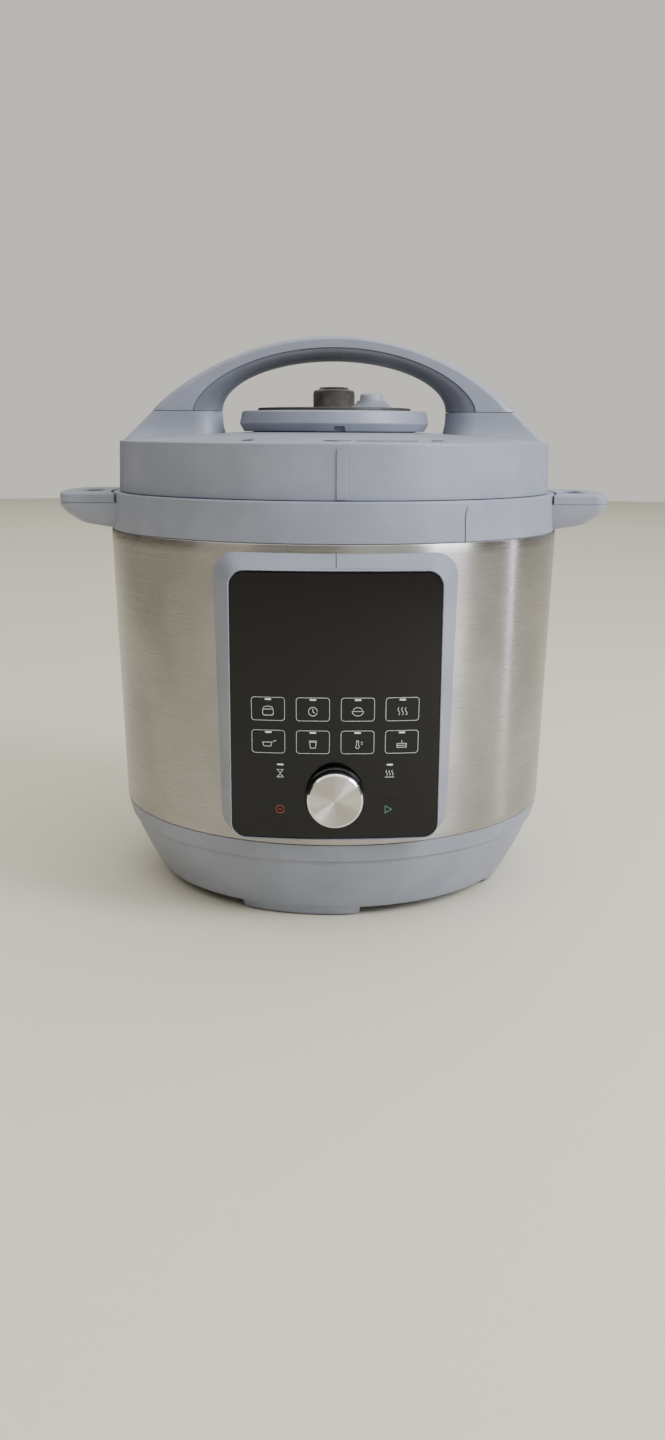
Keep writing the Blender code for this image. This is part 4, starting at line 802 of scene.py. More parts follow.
# ---- Base housing, feet and bottom
FOOT_COUNT = 4
FOOT_FIRST = math.radians(-10.5)
FOOT_SPAN = math.radians(37)
FOOT_DEPTH = 0.020
SKIRT_IN = 0.0160
BAND_H = 0.0106
BAND_IN = 0.0024
BAND_STEP = 0.0020
Z_SKIRT = HOUSING_LOW.z + 0.0056
Z_FLOOR = Z_SKIRT + WALL


def build_base():
    """Moulded base with its upright band, soft step, skirt and feet."""
    sizes = bpy.context.scene.cooker_sizes
    top = Z_STEEL - GAP
    seat_r = steel_r(Z_STEEL)
    lip_r = seat_r - STEEL_T - GAP
    band_z = top - BAND_H
    band_r = seat_r - BAND_IN - BAND_STEP
    foot_r = band_r - SKIRT_IN
    skirt_top = band_z - BAND_STEP
    hole_r = UNDER_HIGH.x + 0.0004
    skirt = []
    for i in range(1, 16):
        share = i / 16
        skirt.append((band_r + 0.0004 - SKIRT_IN * share ** 1.2,
                      band_z - 0.0004 - share * (band_z - 0.0004 - Z_SKIRT), 0))
    corners = [(lip_r, top + 0.0068, 0.0004), (lip_r, top, 0), (seat_r, top, sizes.edge_round / 2),
               (seat_r - BAND_IN, band_z, 0.0009), (band_r, band_z - 0.0003, 0.0003), *skirt,
               (foot_r, Z_SKIRT, 0.0008), (hole_r, Z_SKIRT, 0.0005),
               (hole_r, UNDER_HIGH.z + GAP, 0), (hole_r - 0.008, UNDER_HIGH.z + GAP, 0),
               (hole_r - 0.008, UNDER_HIGH.z + GAP + WALL, 0),
               (hole_r + WALL, UNDER_HIGH.z + GAP + WALL, 0), (hole_r + WALL, Z_FLOOR, 0),
               (foot_r - WALL, Z_FLOOR, 0), (band_r - WALL - 0.001, skirt_top, 0),
               (lip_r - WALL, top + 0.0068, 0)]
    base = turned("base_moulding", corners)
    low = HOUSING_LOW.z
    for i in range(FOOT_COUNT):
        middle = FOOT_FIRST + math.tau * i / FOOT_COUNT
        rings = []
        for z, set_in, shrink in ((low, 0.0036, 0.0016), (low + 0.0003, 0.0030, 0.0008),
                                  (low + 0.0010, 0.0025, 0.0002), (low + 0.0020, 0.0019, 0.0),
                                  (Z_SKIRT, 0.0001, 0.0), (Z_FLOOR - 0.0004, -0.0008, 0.0)):
            outline = sector(foot_r - FOOT_DEPTH + shrink, foot_r - set_in, middle,
                             FOOT_SPAN - 2 * shrink / foot_r, 0.0012)
            rings.append(level(outline, z))
        join(base, add_loft, rings)
        pad_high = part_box(f"foot_pad_{i + 1}")[1]
        pad_r = foot_r - 0.005
        cut(base, add_prism, sector(pad_r - 0.0085 - GAP, pad_r + GAP, middle, math.radians(20.4)),
            -0.001, pad_high.z + GAP)
        rings = []
        for z, shrink in ((0.0, 0.0007), (0.0003, 0.0002), (0.0008, 0.0), (pad_high.z, 0.0)):
            outline = sector(pad_r - 0.0085 + shrink, pad_r - shrink, middle,
                             math.radians(20) - 2 * shrink / pad_r, 0.0008)
            rings.append(level(outline, z))
        dress(lofted(f"rubber_pad_{i + 1}", rings), foot_rubber(), "base", "rubber",
              f"foot_pad_{i + 1}")
    cut(base, add_block, (INLET_LOW.x - GAP, INLET_HIGH.y - 0.035, INLET_LOW.z - GAP),
        (INLET_HIGH.x + GAP, INLET_HIGH.y + 0.02, INLET_HIGH.z + GAP))
    dress(base, textured_abs(), "base", "grey_plastic", "base_housing")
    build_underside()


def build_underside():
    """Louvred bottom cover and its countersunk screws."""
    radius = UNDER_HIGH.x
    corners = [(0, UNDER_LOW.z, 0), (radius, UNDER_LOW.z, 0.0008), (radius, UNDER_HIGH.z, 0),
               (0, UNDER_HIGH.z, 0)]
    cover = turned("louvred_cover", corners, MEDIUM)
    slots = bmesh.new()
    for i in range(-3, 4):
        x = 0.012 * i
        half = math.sqrt(0.052 ** 2 - x ** 2) - 0.002
        outline = [(x + 0.002 * math.cos(a), half + 0.002 * math.sin(a))
                   for a in (math.pi * k / 8 for k in range(9))]
        outline += [(x + 0.002 * math.cos(a), -half + 0.002 * math.sin(a))
                    for a in (math.pi * (1 + k / 8) for k in range(9))]
        add_prism(slots, outline, 0.0, UNDER_HIGH.z + 0.002)
    combine(cover, slots, "DIFFERENCE")
    dress(cover, filled_nylon("glass_filled_nylon", bpy.context.scene.cooker_colours.dark),
          "base", "dark_plastic", "bottom_cover")
    for i in range(3):
        low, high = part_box(f"bottom_screw_{i + 1}")
        spot = ((low.x + high.x) / 2, (low.y + high.y) / 2)
        head_r = (high.x - low.x) / 2
        corners = [(0, low.z, 0), (head_r * 0.8, low.z, 0.0006), (head_r, low.z + 0.0018, 0.0003),
                   (0.0015, low.z + 0.0018, 0), (0.0015, high.z, 0.0003), (0, high.z, 0)]
        screw = turned(f"cover_screw_{i + 1}", corners, SMALL, upright(spot))
        cut(screw, add_block, (spot[0] - 0.0019, spot[1] - 0.0004, low.z - 0.001),
            (spot[0] + 0.0019, spot[1] + 0.0004, low.z + 0.0010))
        cut(screw, add_block, (spot[0] - 0.0004, spot[1] - 0.0019, low.z - 0.001),
            (spot[0] + 0.0004, spot[1] + 0.0019, low.z + 0.0010))
        dress(screw, plated_steel(), "base", "screw_steel", f"bottom_screw_{i + 1}")


# ---- Steel wrap
def build_wrap():
    """Brushed sheet rolled round the body, with its hemmed edges and the panel's window."""
    half = FASCIA_HALF - TUNNEL_IN + 0.0006
    low = Z_FASCIA + TUNNEL_IN - 0.0006
    high = Z_FASCIA_TOP - TUNNEL_IN + 0.0006
    turn = math.asin(half / steel_r((low + high) / 2))
    front_steps = 56
    angles = [-turn + 2 * turn * i / front_steps for i in range(front_steps + 1)]
    side_steps = FINE
    angles += [turn + (math.tau - 2 * turn) * i / side_steps for i in range(1, side_steps)]
    hem = 0.0005
    levels = [Z_STEEL, Z_STEEL + hem * 0.3, Z_STEEL + hem]
    levels += [Z_STEEL + hem + (low - Z_STEEL - hem) * i / 2 for i in (1, 2)]
    levels += [low + (high - low) * i / 24 for i in range(1, 25)]
    levels += [high + (Z_STEEL_TOP - hem - high) * i / 3 for i in (1, 2, 3)]
    levels += [Z_STEEL_TOP - hem * 0.3, Z_STEEL_TOP]
    bm = bmesh.new()
    rings = []
    for z in levels:
        edge = min(z - Z_STEEL, Z_STEEL_TOP - z)
        drawn_in = 0.0003 * max(0.0, 1 - edge / hem) ** 2
        rings.append([bm.verts.new((*polar(steel_r(z) - drawn_in, a), z)) for a in angles])
    for row, (one, two) in enumerate(zip(rings, rings[1:])):
        for i in range(len(angles)):
            inside = i < front_steps and levels[row] > low - 1e-6 and levels[row + 1] < high + 1e-6
            if not inside:
                j = (i + 1) % len(angles)
                bm.faces.new((one[i], one[j], two[j], two[i]))
    wrap = mesh_object("steel_wrap", bm)
    if wrap.data.polygons[0].normal.dot(wrap.data.polygons[0].center) < 0:
        wrap.data.flip_normals()
    sheet = wrap.modifiers.new("sheet", "SOLIDIFY")
    sheet.thickness = STEEL_T - 0.0001
    sheet.offset = -1.0
    keep_shape(wrap)
    dress(wrap, brushed_stainless(), "base", "brushed_steel", "outer_housing", sharp=50,
          even=False)


# ---- Top ring, side handles and the cup behind
HANDLE_HALF_W = 0.043
HANDLE_CORNER = 0.009
HANDLE_SPLIT = 0.0155    # parting line above the ring's underside
HANDLE_RISE = 0.0022     # underside above the ring's, where it leaves the wrap
HANDLE_SLOPE = 0.155     # how fast the underside rises outwards
HANDLE_SLOT = (0.0048, 0.012, 0.040)   # from the wrap, width, length
OPEN_MARK = math.radians(30.8)


def handle_plan(root_r, tip_r, half_w, side, corner=HANDLE_CORNER):
    """Plan of a side handle: arcs along the ring and at its tip, joined by round corners."""
    span = math.asin(half_w / root_r)
    points = []
    for i in range(17):
        a = -span + 2 * span * i / 16
        points.append((root_r * math.cos(a), root_r * math.sin(a)))
    middle_y = half_w - corner
    turn = math.asin(middle_y / (tip_r - corner))
    middle_x = (tip_r - corner) * math.cos(turn)
    for i in range(13):
        a = 0.5 * math.pi + (turn - 0.5 * math.pi) * i / 12
        points.append((middle_x + corner * math.cos(a), middle_y + corner * math.sin(a)))
    for i in range(1, 16):
        a = turn * (1 - i / 8)
        points.append((tip_r * math.cos(a), tip_r * math.sin(a)))
    for i in range(13):
        a = -turn + (turn - 0.5 * math.pi) * i / 12
        points.append((middle_x + corner * math.cos(a), corner * math.sin(a) - middle_y))
    return [(side * x, y) for x, y in points]


def handle_under_z(x):
    """Underside of a side handle, which rises outwards from the wrap."""
    return Z_RING + HANDLE_RISE + HANDLE_SLOPE * (abs(x) - BODY_R)


def slot_shape(side, grow=0.0):
    """The slot through a side handle."""
    offset, width, long = HANDLE_SLOT
    middle = BODY_R + offset + width / 2
    outline = []
    for end in (1, -1):
        for i in range(15):
            a = math.pi * i / 14 + (0.0 if end > 0 else math.pi)
            outline.append((side * (middle + (0.5 * width + grow) * math.cos(a)),
                            end * (long / 2 - width / 2) + (0.5 * width + grow) * math.sin(a)))
    return outline


def cut_slot(obj, side, top):
    """Cut the slot with a softened upper edge."""
    cut(obj, add_prism, slot_shape(side), Z_RING - 0.01, top + 0.01)
    rings = [level(slot_shape(side, grow), z)
             for z, grow in ((top - 0.0012, -0.0001), (top - 0.0005, 0.0002),
                             (top - 0.0001, 0.0007), (top + 0.0010, 0.0012))]
    cut(obj, add_loft, rings)


def build_ring():
    """Moulded ring with its moat, the lower halves of the side handles and the open mark."""
    lip_r = steel_r(Z_STEEL_TOP) - STEEL_T - GAP
    moat_z = Z_RING + 0.0053
    upstand = LINER_HIGH.x - 0.0062
    seat_z = Z_RING_TOP - 0.0078 - GAP
    corners = [
        (BODY_R - 0.0020, Z_RING_TOP, 0.0012), (BODY_R - 0.0007, Z_RING, 0.0006),
        (lip_r - 0.0002, Z_RING, 0), (lip_r - 0.0002, Z_RING - 0.0068, 0.0004),
        (lip_r - WALL, Z_RING - 0.0068, 0.0004), (lip_r - WALL, moat_z - WALL, 0),
        (upstand, moat_z - WALL, 0), (upstand, seat_z, 0.0003),
        (upstand + 0.0032, seat_z, 0.0006), (upstand + 0.0032, moat_z, 0.0010),
        (DISC_HIGH.x + 0.0011, moat_z, 0.0012), (DISC_HIGH.x + 0.0011, Z_RING_TOP, 0.0007)]
    ring = turned("top_ring_moulding", corners)
    root_r = BODY_R - 0.0024
    tip = RING_HIGH.x
    split = Z_RING + HANDLE_SPLIT
    for side in (1, -1):
        rings = []
        steps = 16
        for i in range(steps + 1):
            share = 0.5 - 0.5 * math.cos(math.pi * i / steps)
            shrink = 0.0115 * (1 - share) ** 2.1 + 0.0003 * share ** 12
            outline = handle_plan(root_r, tip - shrink, HANDLE_HALF_W - 0.4 * shrink, side)
            rings.append([(x, y, split + (1 - share) * (handle_under_z(x) - split))
                          for x, y in outline])
        join(ring, add_loft, rings)
        cut(ring, add_prism, slot_shape(side), Z_RING - 0.01, Z_RING_TOP + 0.01)
        caps = []
        wall_r = BODY_R - 0.0007 + GAP
        top = Z_RING_TOP
        for z, shrink in ((split + 0.0001, 0.0004), (split + 0.0004, 0.0), (top - 0.0017, 0.0001),
                          (top - 0.0011, 0.0003), (top - 0.0006, 0.0007), (top - 0.0003, 0.0011),
                          (top - 0.0002, 0.0015), (top - 0.0001, 0.0022)):
            outline = handle_plan(wall_r, tip - shrink, HANDLE_HALF_W - shrink, side,
                                  HANDLE_CORNER - 0.6 * shrink)
            caps.append(level(outline, z))
        word = "right" if side > 0 else "left"
        cap = lofted(f"side_handle_cap_{word}", caps)
        cut_slot(cap, side, top - 0.0001)
        dress(cap, textured_abs(), "base", "grey_plastic", f"handle_cap_{word}")
    add_drain(ring)
    wall = BODY_R - 0.0012
    path = [(0.0, -0.0005), (0.0, 0.0115)]
    path += [(0.0022 * (1 - math.cos(math.radians(a))), 0.0115 + 0.0065 * math.sin(math.radians(a)))
             for a in range(10, 75, 8)]
    cut(ring, add_stroke, path, 0.0008, 0.002,
        lambda u, v, lift: (*polar(wall + lift - 0.0011, OPEN_MARK + u / wall), Z_RING + v))
    dress(ring, textured_abs(), "base", "grey_plastic", "top_ring")


def add_drain(ring):
    """Spout and the two arms at the ring's rear that carry the cup."""
    half = (CUP_HIGH.x - CUP_LOW.x) / 2 - 0.0036
    shelf = Z_RING + 0.0060
    root_r = BODY_R - 0.0024
    root_y = math.sqrt(root_r ** 2 - (half + GAP) ** 2)
    arms = bmesh.new()
    for side in (1, -1):
        low_x, high_x = sorted((side * (half + GAP), side * (half + 0.0045)))
        add_block(arms, (low_x, root_y, shelf - 0.004), (high_x, CUP_HIGH.y - 0.004, shelf))
    add_block(arms, (-0.006, root_r, shelf - 0.001), (0.006, BODY_R + 0.008, shelf + 0.007))
    combine(ring, arms, "UNION")
    cut(ring, add_block, (-0.004, DISC_HIGH.x - 0.0009, shelf + 0.001),
        (0.004, BODY_R + 0.009, shelf + 0.0045))


def cup_outline(half, near, rear, corner, steps=8):
    """Plan of the cup with rounded corners."""
    points = []
    spots = ((half - corner, rear - corner), (corner - half, rear - corner),
             (corner - half, near + corner), (half - corner, near + corner))
    for index, (x, y) in enumerate(spots):
        for i in range(steps + 1):
            a = 0.5 * math.pi * (index + i / steps)
            points.append((x + corner * math.cos(a), y + corner * math.sin(a)))
    return points


def build_collector():
    """Clear cup that hangs behind and catches condensed water."""
    half = (CUP_HIGH.x - CUP_LOW.x) / 2
    near, rear = CUP_LOW.y, CUP_HIGH.y
    rim_z = CUP_HIGH.z - 0.002
    low = CUP_LOW.z
    wall = 0.0015
    body = half - 0.0036
    lines = [(body - 0.0030, near + 0.0025, rear - 0.0030, low),
             (body - 0.0010, near + 0.0008, rear - 0.0010, low + 0.0006),
             (body - 0.0002, near + 0.0001, rear - 0.0002, low + 0.0025),
             (body, near, rear, rim_z - 0.0005), (body, near + 0.0004, rear, rim_z),
             (half - 0.0006, near + 0.0015, rear, rim_z),
             (half, near + 0.0015, rear, rim_z + 0.0006),
             (half, near + 0.0015, rear, rim_z + 0.0015),
             (half - 0.0007, near + 0.0017, rear - 0.0004, rim_z + 0.002),
             (body - wall, near + wall + 0.0004, rear - wall, rim_z + 0.002),
             (body - wall, near + wall, rear - wall, low + wall + 0.003),
             (body - wall - 0.002, near + wall + 0.001, rear - wall - 0.0015, low + wall)]
    rings = [level(cup_outline(w, n, r, 0.0045), z) for w, n, r, z in lines]
    cup = lofted("condensation_cup", rings)
    cut(cup, add_block, (-0.009, near - 0.01, Z_RING + 0.0035), (0.009, near + 0.006, Z_RING_TOP))
    dress(cup, clear_polycarbonate(), "collector", "clear_plastic", "condensation_collector")


# ---- Control panel
def build_panel():
    """Bezel with its rim and notch, and the gloss fascia with its key openings."""
    half = FASCIA_HALF
    side = BEZEL_HIGH.x - half
    over = BEZEL_HIGH.z - Z_FASCIA_TOP
    foot = Z_FASCIA - BEZEL_LOW.z
    back = BEZEL_HIGH.y
    inner = half - TUNNEL_IN
    lines = [
        (1.0, 0.0, 0.0002), (0.985, 0.035, 0.0), (0.94, 0.085, 0.0), (0.70, 0.30, 0.0),
        (0.42, 0.60, 0.0), (0.26, 0.80, 0.0), (0.190, 0.90, 0.0004), (0.165, 0.95, 0.0002),
        (0.150, 1.0, 0.0), (0.125, 1.0, -0.0006), (0.080, 1.0, -0.0009), (0.045, 1.0, -0.0006),
        (0.031, 1.0, 0.0001), (0.031, 1.0, FASCIA_T + GAP)]
    rings = []
    for share, reach, extra in lines:
        corner = FASCIA_CORNER + share * (BEZEL_CORNER - FASCIA_CORNER)
        outline = rounded(half + share * side, Z_FASCIA - share * foot - GAP * (1 - share),
                          Z_FASCIA_TOP + share * over + GAP * (1 - share), corner, 48, 24, 12)
        ring = []
        for x, z in outline:
            x = flared(x, z, share)
            on_steel = steel_y(x, z) - 0.00005
            ring.append((x, on_steel + reach * (panel_y(x) - on_steel) + extra, z))
        rings.append(ring)
    for grow, y in ((0.0, None), (0.0, back), (TUNNEL_T, back), (TUNNEL_T, "steel")):
        outline = rounded(inner - TUNNEL_T + grow, Z_FASCIA + TUNNEL_IN + TUNNEL_T - grow,
                          Z_FASCIA_TOP - TUNNEL_IN - TUNNEL_T + grow, 0.003, 48, 24, 12)
        ring = []
        for x, z in outline:
            depth = y
            if y is None:
                depth = panel_y(x) + FASCIA_T + GAP
            elif y == "steel":
                depth = steel_y(x, z) + 0.0004
            ring.append((x, depth, z))
        rings.append(ring)
    bezel = lofted("bezel_moulding", rings, True)
    top = Z_FASCIA_TOP + over
    outline = [(-0.0009, -0.0018), (0.0009, -0.0018), (0.0002, 0.0018), (-0.0002, 0.0018)]
    rings = []
    for z, width in ((top + 0.001, 1.0), (top - 0.0045, 0.8), (top - 0.0068, 0.3)):
        y = steel_y(0.0, z) - 0.0008 - 4.2 * MM * (top - z) / over
        rings.append([(x * width, y + d * 0.6, z) for x, d in outline])
    cut(bezel, add_loft, rings)
    dress(bezel, textured_abs(), "base", "grey_plastic", "panel_bezel", sharp=40)

    columns = [-half + 2 * half * i / 96 for i in range(97)]
    rings = []
    for x in columns:
        short = max(0.0, abs(x) - (half - FASCIA_CORNER))
        cut_back = FASCIA_CORNER - math.sqrt(FASCIA_CORNER ** 2 - short ** 2)
        low, high = Z_FASCIA + cut_back, Z_FASCIA_TOP - cut_back
        if high - low < 0.002:
            low, high = (low + high) / 2 - 0.001, (low + high) / 2 + 0.001
        bevel = 0.0003
        ring = []
        for z, depth in ((low, bevel), (low + bevel, 0.0), (high - bevel, 0.0), (high, bevel),
                         (high, FASCIA_T), (low, FASCIA_T)):
            wide = flared(x, z)
            ring.append((wide, panel_y(wide) + depth, z))
        rings.append(ring)
    fascia = lofted("gloss_fascia", rings)
    openings = bmesh.new()
    for name in PROGRAM_KEYS + SOFT_KEYS:
        add_key_plate(openings, name, 0.00005, -0.002, FASCIA_T + 0.002)
    combine(fascia, openings, "DIFFERENCE")
    cut(fascia, add_turned,
        [(0, -PANEL_FRONT - 0.002), (0.0042, -PANEL_FRONT - 0.002), (0.0042, -PANEL_FRONT + 0.006),
         (0, -PANEL_FRONT + 0.006)], SMALL, facing_front)
    dress(fascia, painted_acrylic(), "base", "gloss_black", "panel_fascia", even=False)
    aim_normals(fascia, panel_normal)


def key_centre(name):
    """Middle of a key's front and half its width and height."""
    low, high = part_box(name)
    return (low.x + high.x) / 2, (low.z + high.z) / 2, (high.x - low.x) / 2, (high.z - low.z) / 2


def add_key_plate(bm, name, grow, front, back):
    """A rounded plate that follows the fascia's curve, front and back given as depths."""
    x, z, half_w, half_h = key_centre(name)
    corner = 0.0020 + grow
    rings = []
    places = []
    for i in range(9):
        a = 0.5 * math.pi * i / 8
        places.append((half_w + grow - corner * (1 - math.cos(a)), corner * (1 - math.sin(a))))
    flat = half_w + grow - corner
    row = [(-u, c) for u, c in places] + [(-flat + 2 * flat * i / 12, 0.0) for i in range(1, 12)]
    row += list(reversed(places))
    for u, cut_back in row:
        high = half_h + grow - cut_back
        near, far = panel_y(x + u) + front, panel_y(x + u) + back
        rings.append([(x + u, near, z - high), (x + u, near, z + high),
                      (x + u, far, z + high), (x + u, far, z - high)])
    add_loft(bm, rings)


def build_keys():
    """Twelve key pads with their printed frames, marks and signal lights."""
    sizes = bpy.context.scene.cooker_sizes
    colours = bpy.context.scene.cooker_colours
    inks = {"cancel_key": ("red_ink", colours.print_red),
            "start_key": ("green_ink", colours.print_green)}
    marks = key_marks()
    for name in PROGRAM_KEYS + SOFT_KEYS:
        x, z, half_w, half_h = key_centre(name)
        key = mesh_object(name + "_pad", shape(add_key_plate, name, 0.0, 0.0, 0.0036))
        join(key, add_block, (x - 0.002, -PANEL_FRONT + 0.0026, z - 0.002),
             (x + 0.002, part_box(name)[1].y, z + 0.002))
        dress(key, painted_acrylic(), "body_" + name, "gloss_black", name, even=False)
        aim_normals(key, panel_normal)

        def on_key(u, v, lift, x=x, z=z):
            return (x + u, panel_y(x + u) - lift, z + v)

        print_bm = bmesh.new()
        framed = name in PROGRAM_KEYS
        if framed:
            inset = sizes.key_inset
            frame_line = rounded(half_w - inset, inset - half_h, half_h - inset, 0.0017, 8, 5, 7)
            add_stroke(print_bm, frame_line, sizes.ink_width * 0.8, sizes.ink_height, on_key, True)
        drop = -0.0011 if framed else (-0.0001 if name in ("cancel_key", "start_key") else 0.0002)
        for points, closed in marks[name]:
            line = [(u * MM, v * MM + drop) for u, v in points]
            add_stroke(print_bm, line, sizes.ink_width, sizes.ink_height, on_key, closed)
        ink_name, code = inks.get(name, ("white_ink", colours.print_white))
        mark = mesh_object(name + "_print", print_bm)
        dress(mark, printed_ink(ink_name, code), "body_" + name, "clear_white", even=False)
        if name not in inks:
            wide, tall = sizes.light_width / 2, sizes.light_height / 2
            lamp_z = half_h - sizes.key_inset - 0.0011 if framed else half_h - 0.0012
            outline = rounded(wide, lamp_z - tall, lamp_z + tall, tall * 0.9, 4, 1, 6)
            rings = [[on_key(u * k, lamp_z + (v - lamp_z) * k, lift) for u, v in outline]
                     for k, lift in ((1.0, -0.0004), (1.0, 0.00004), (0.93, 0.00010))]
            dress(lofted(name + "_light", rings), light_window(), "body_" + name,
                  "clear_white", even=False)


def build_knob():
    """Knob body with its collar and the turned metal face with a bright chamfer."""
    back, front = KNOB_HIGH.y, KNOB_LOW.y
    corners = [(0, back, 0), (KNOB_R, back, 0.0003), (KNOB_R, back - 0.0028, 0.0010),
               (KNOB_R - 0.0009, back - 0.0038, 0.0004), (KNOB_R - 0.0010, front, 0.0007),
               (0, front, 0)]
    body = turned("knob_body", corners, MEDIUM, facing_front)
    shaft_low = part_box("knob_shaft")[0].y
    cut(body, add_turned,
        [(0, shaft_low - GAP), (0.0033, shaft_low - GAP), (0.0033, back + 0.002),
         (0, back + 0.002)], SMALL, facing_front)
    dress(body, gloss_abs(), "knob", "dark_plastic", "control_knob")

    near, far = FACE_LOW.y, FACE_HIGH.y
    chamfer = 0.0011
    corners = [(0, far, 0), (FACE_R - chamfer, far, 0), (FACE_R - chamfer, near, 0),
               (FACE_R - chamfer - 0.0004, near, 0), (0.0006, near, 0), (0, near + 0.00008, 0)]
    piece = turned("knob_turned_face", corners, MEDIUM, facing_front)
    dress(piece, turned_aluminium(), "knob", "spun_aluminium", "knob_face", even=False)
    corners = [(FACE_R - chamfer + 0.00002, far, 0), (FACE_R, far, 0.0001),
               (FACE_R, near + chamfer * 0.8, 0.0002), (FACE_R - chamfer * 0.9, near, 0),
               (FACE_R - chamfer + 0.00002, near, 0)]
    piece = turned("knob_bright_chamfer", corners, MEDIUM, facing_front)
    dress(piece, cut_aluminium(), "knob", "spun_aluminium", even=False)


# ---- Lid
def boss_plan(z, flare, side):
    """Plan of a handle boss at one height: a rounded nose inside, the lid's curve outside."""
    share = (Z_PARTING - z) / (Z_PARTING - Z_LID_EDGE)
    nose = HOLE_HALF - 0.8 * flare
    half_d = ARCH_HALF_D + flare
    out_r = ARCH_HALF + share * (LID_R - LID_DRAFT - 0.0022 - ARCH_HALF)
    points = []
    for i in range(33):
        a = math.radians(-90 + 180 * i / 32)
        points.append((EDGE_HALF - (EDGE_HALF - nose) * math.cos(a), half_d * math.sin(a)))
    corner = 0.0030
    for i in range(9):
        a = 0.5 * math.pi * (1 - i / 8)
        y = half_d - corner * (1 - math.sin(a))
        points.append((math.sqrt(out_r ** 2 - y ** 2) - corner * (1 - math.cos(a)), y))
    points += [(math.sqrt(out_r ** 2 - y ** 2), y)
               for y in ((half_d - corner) * (1 - i / 6) for i in range(1, 12))]
    for i in range(9):
        a = 0.5 * math.pi * i / 8
        y = -half_d + corner * (1 - math.sin(a))
        points.append((math.sqrt(out_r ** 2 - y ** 2) - corner * (1 - math.cos(a)), y))
    return [(side * x, y, z) for x, y in points]


def on_lid_top(azimuth, radius):
    """Surface for marks on the lid's top: u runs around and v outwards."""
    return lambda u, v, lift: (*polar(radius - v, azimuth + u / radius),
                               lid_top_z(radius - v) + lift)


def build_lid_shell():
    """Moulded lid: drafted wall, crowned top, two handle bosses and the strip on its front."""
    sizes = bpy.context.scene.cooker_sizes
    edge = LID_R - LID_DRAFT
    hole = SPIGOT_R + GAP
    top = [(r, lid_top_z(r), 0) for r in (hole + (edge - 0.0036 - hole) * i / 24
                                          for i in range(25))]
    inside = [(r, lid_top_z(r) - LID_T, 0) for r in (0.110, 0.098, 0.085, 0.070, hole)]
    corners = top + [
        (edge, Z_LID_EDGE + 0.0001, sizes.lid_round), (LID_R, Z_LID, 0.0005),
        (LID_R - LID_T, Z_LID, 0.0003), (edge - LID_T, Z_LID_EDGE - 0.0040, 0.0030),
        *inside]
    shell = turned("lid_moulding", corners, ease=8)
    steps = 18
    for side in (1, -1):
        rings = []
        base = Z_LID_EDGE - 0.0004
        for i in range(steps + 1):
            share = (i / steps) ** 1.5
            flare = BOSS_FLARE * (1 - share) ** 2.6
            rings.append(boss_plan(base + share * (Z_PARTING - base), flare, side))
        join(shell, add_loft, rings)
        low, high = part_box("handle_screw_right" if side > 0 else "handle_screw_left")
        spot = ((low.x + high.x) / 2, 0.0)
        cut(shell, add_turned, [(0, Z_LID), (0.0024, Z_LID), (0.0024, Z_PARTING + 0.002),
                                (0, Z_PARTING + 0.002)], SMALL, upright(spot))
    strip = bmesh.new()
    rings = []
    for z in (Z_LID + 0.0006, Z_LID_EDGE - 0.0030):
        radius = LID_R - LID_DRAFT * (z - Z_LID) / (Z_LID_EDGE - Z_LID)
        width = sizes.strip_width / radius
        ring = []
        for share, out in ((0.0, -0.001), (0.0, 0.0), (0.02, sizes.strip_height * 0.8),
                           (0.06, sizes.strip_height), (0.5, sizes.strip_height),
                           (0.94, sizes.strip_height), (0.98, sizes.strip_height * 0.8),
                           (1.0, 0.0), (1.0, -0.001)):
            ring.append((*polar(radius + out, share * width), z))
        rings.append(ring)
    add_loft(strip, rings)
    combine(shell, strip, "UNION")
    dress(shell, textured_abs(), "lid", "grey_plastic", "lid_shell", sharp=36)
    build_lid_marks()


def build_lid_marks():
    """Moulded signs on the lid's top: closed lock, open lock, arrow and direction line."""
    radius = 0.1195
    lift, sunk, line_w = 0.0004, 0.0006, 0.0007
    bm = bmesh.new()
    for azimuth, opened in ((math.radians(-23.0), 0.0), (math.radians(27.0), 1.0)):
        spot = on_lid_top(azimuth, radius)
        body = [(-0.0026, -0.0024), (0.0026, -0.0024), (0.0026, 0.0008), (-0.0026, 0.0008)]
        add_stroke(bm, body, line_w, lift, spot, True, sunk)
        shackle = [(u * MM, v * MM) for u, v in
                   [(-1.7 + 2.4 * opened, 1.1), *arc(2.4 * opened, 1.9, 1.7, 1.5, 180, 0, 12),
                    (1.7 + 2.4 * opened, 1.1 + 0.9 * opened)]]
        add_stroke(bm, shackle, line_w, lift, spot, False, sunk)
    spot = on_lid_top(0.004, radius + 0.0005)
    for grow in (1.0, 0.72, 0.44, 0.16):
        add_stroke(bm, [(-0.0066 * grow, 0.0019 * grow), (0.0066 * grow, 0.0019 * grow),
                        (0.0, -0.0021 * grow)], 0.0009, lift, spot, True, sunk)
    line = [(0.010 + 0.034 * i / 16, -0.0004) for i in range(17)]
    add_stroke(bm, line, line_w, lift, spot, False, sunk)
    signs = filled_nylon("pad_printed_grey_lacquer", bpy.context.scene.cooker_colours.signs)
    dress(mesh_object("lid_signs", bm), signs, "lid", "grey_plastic", even=False)


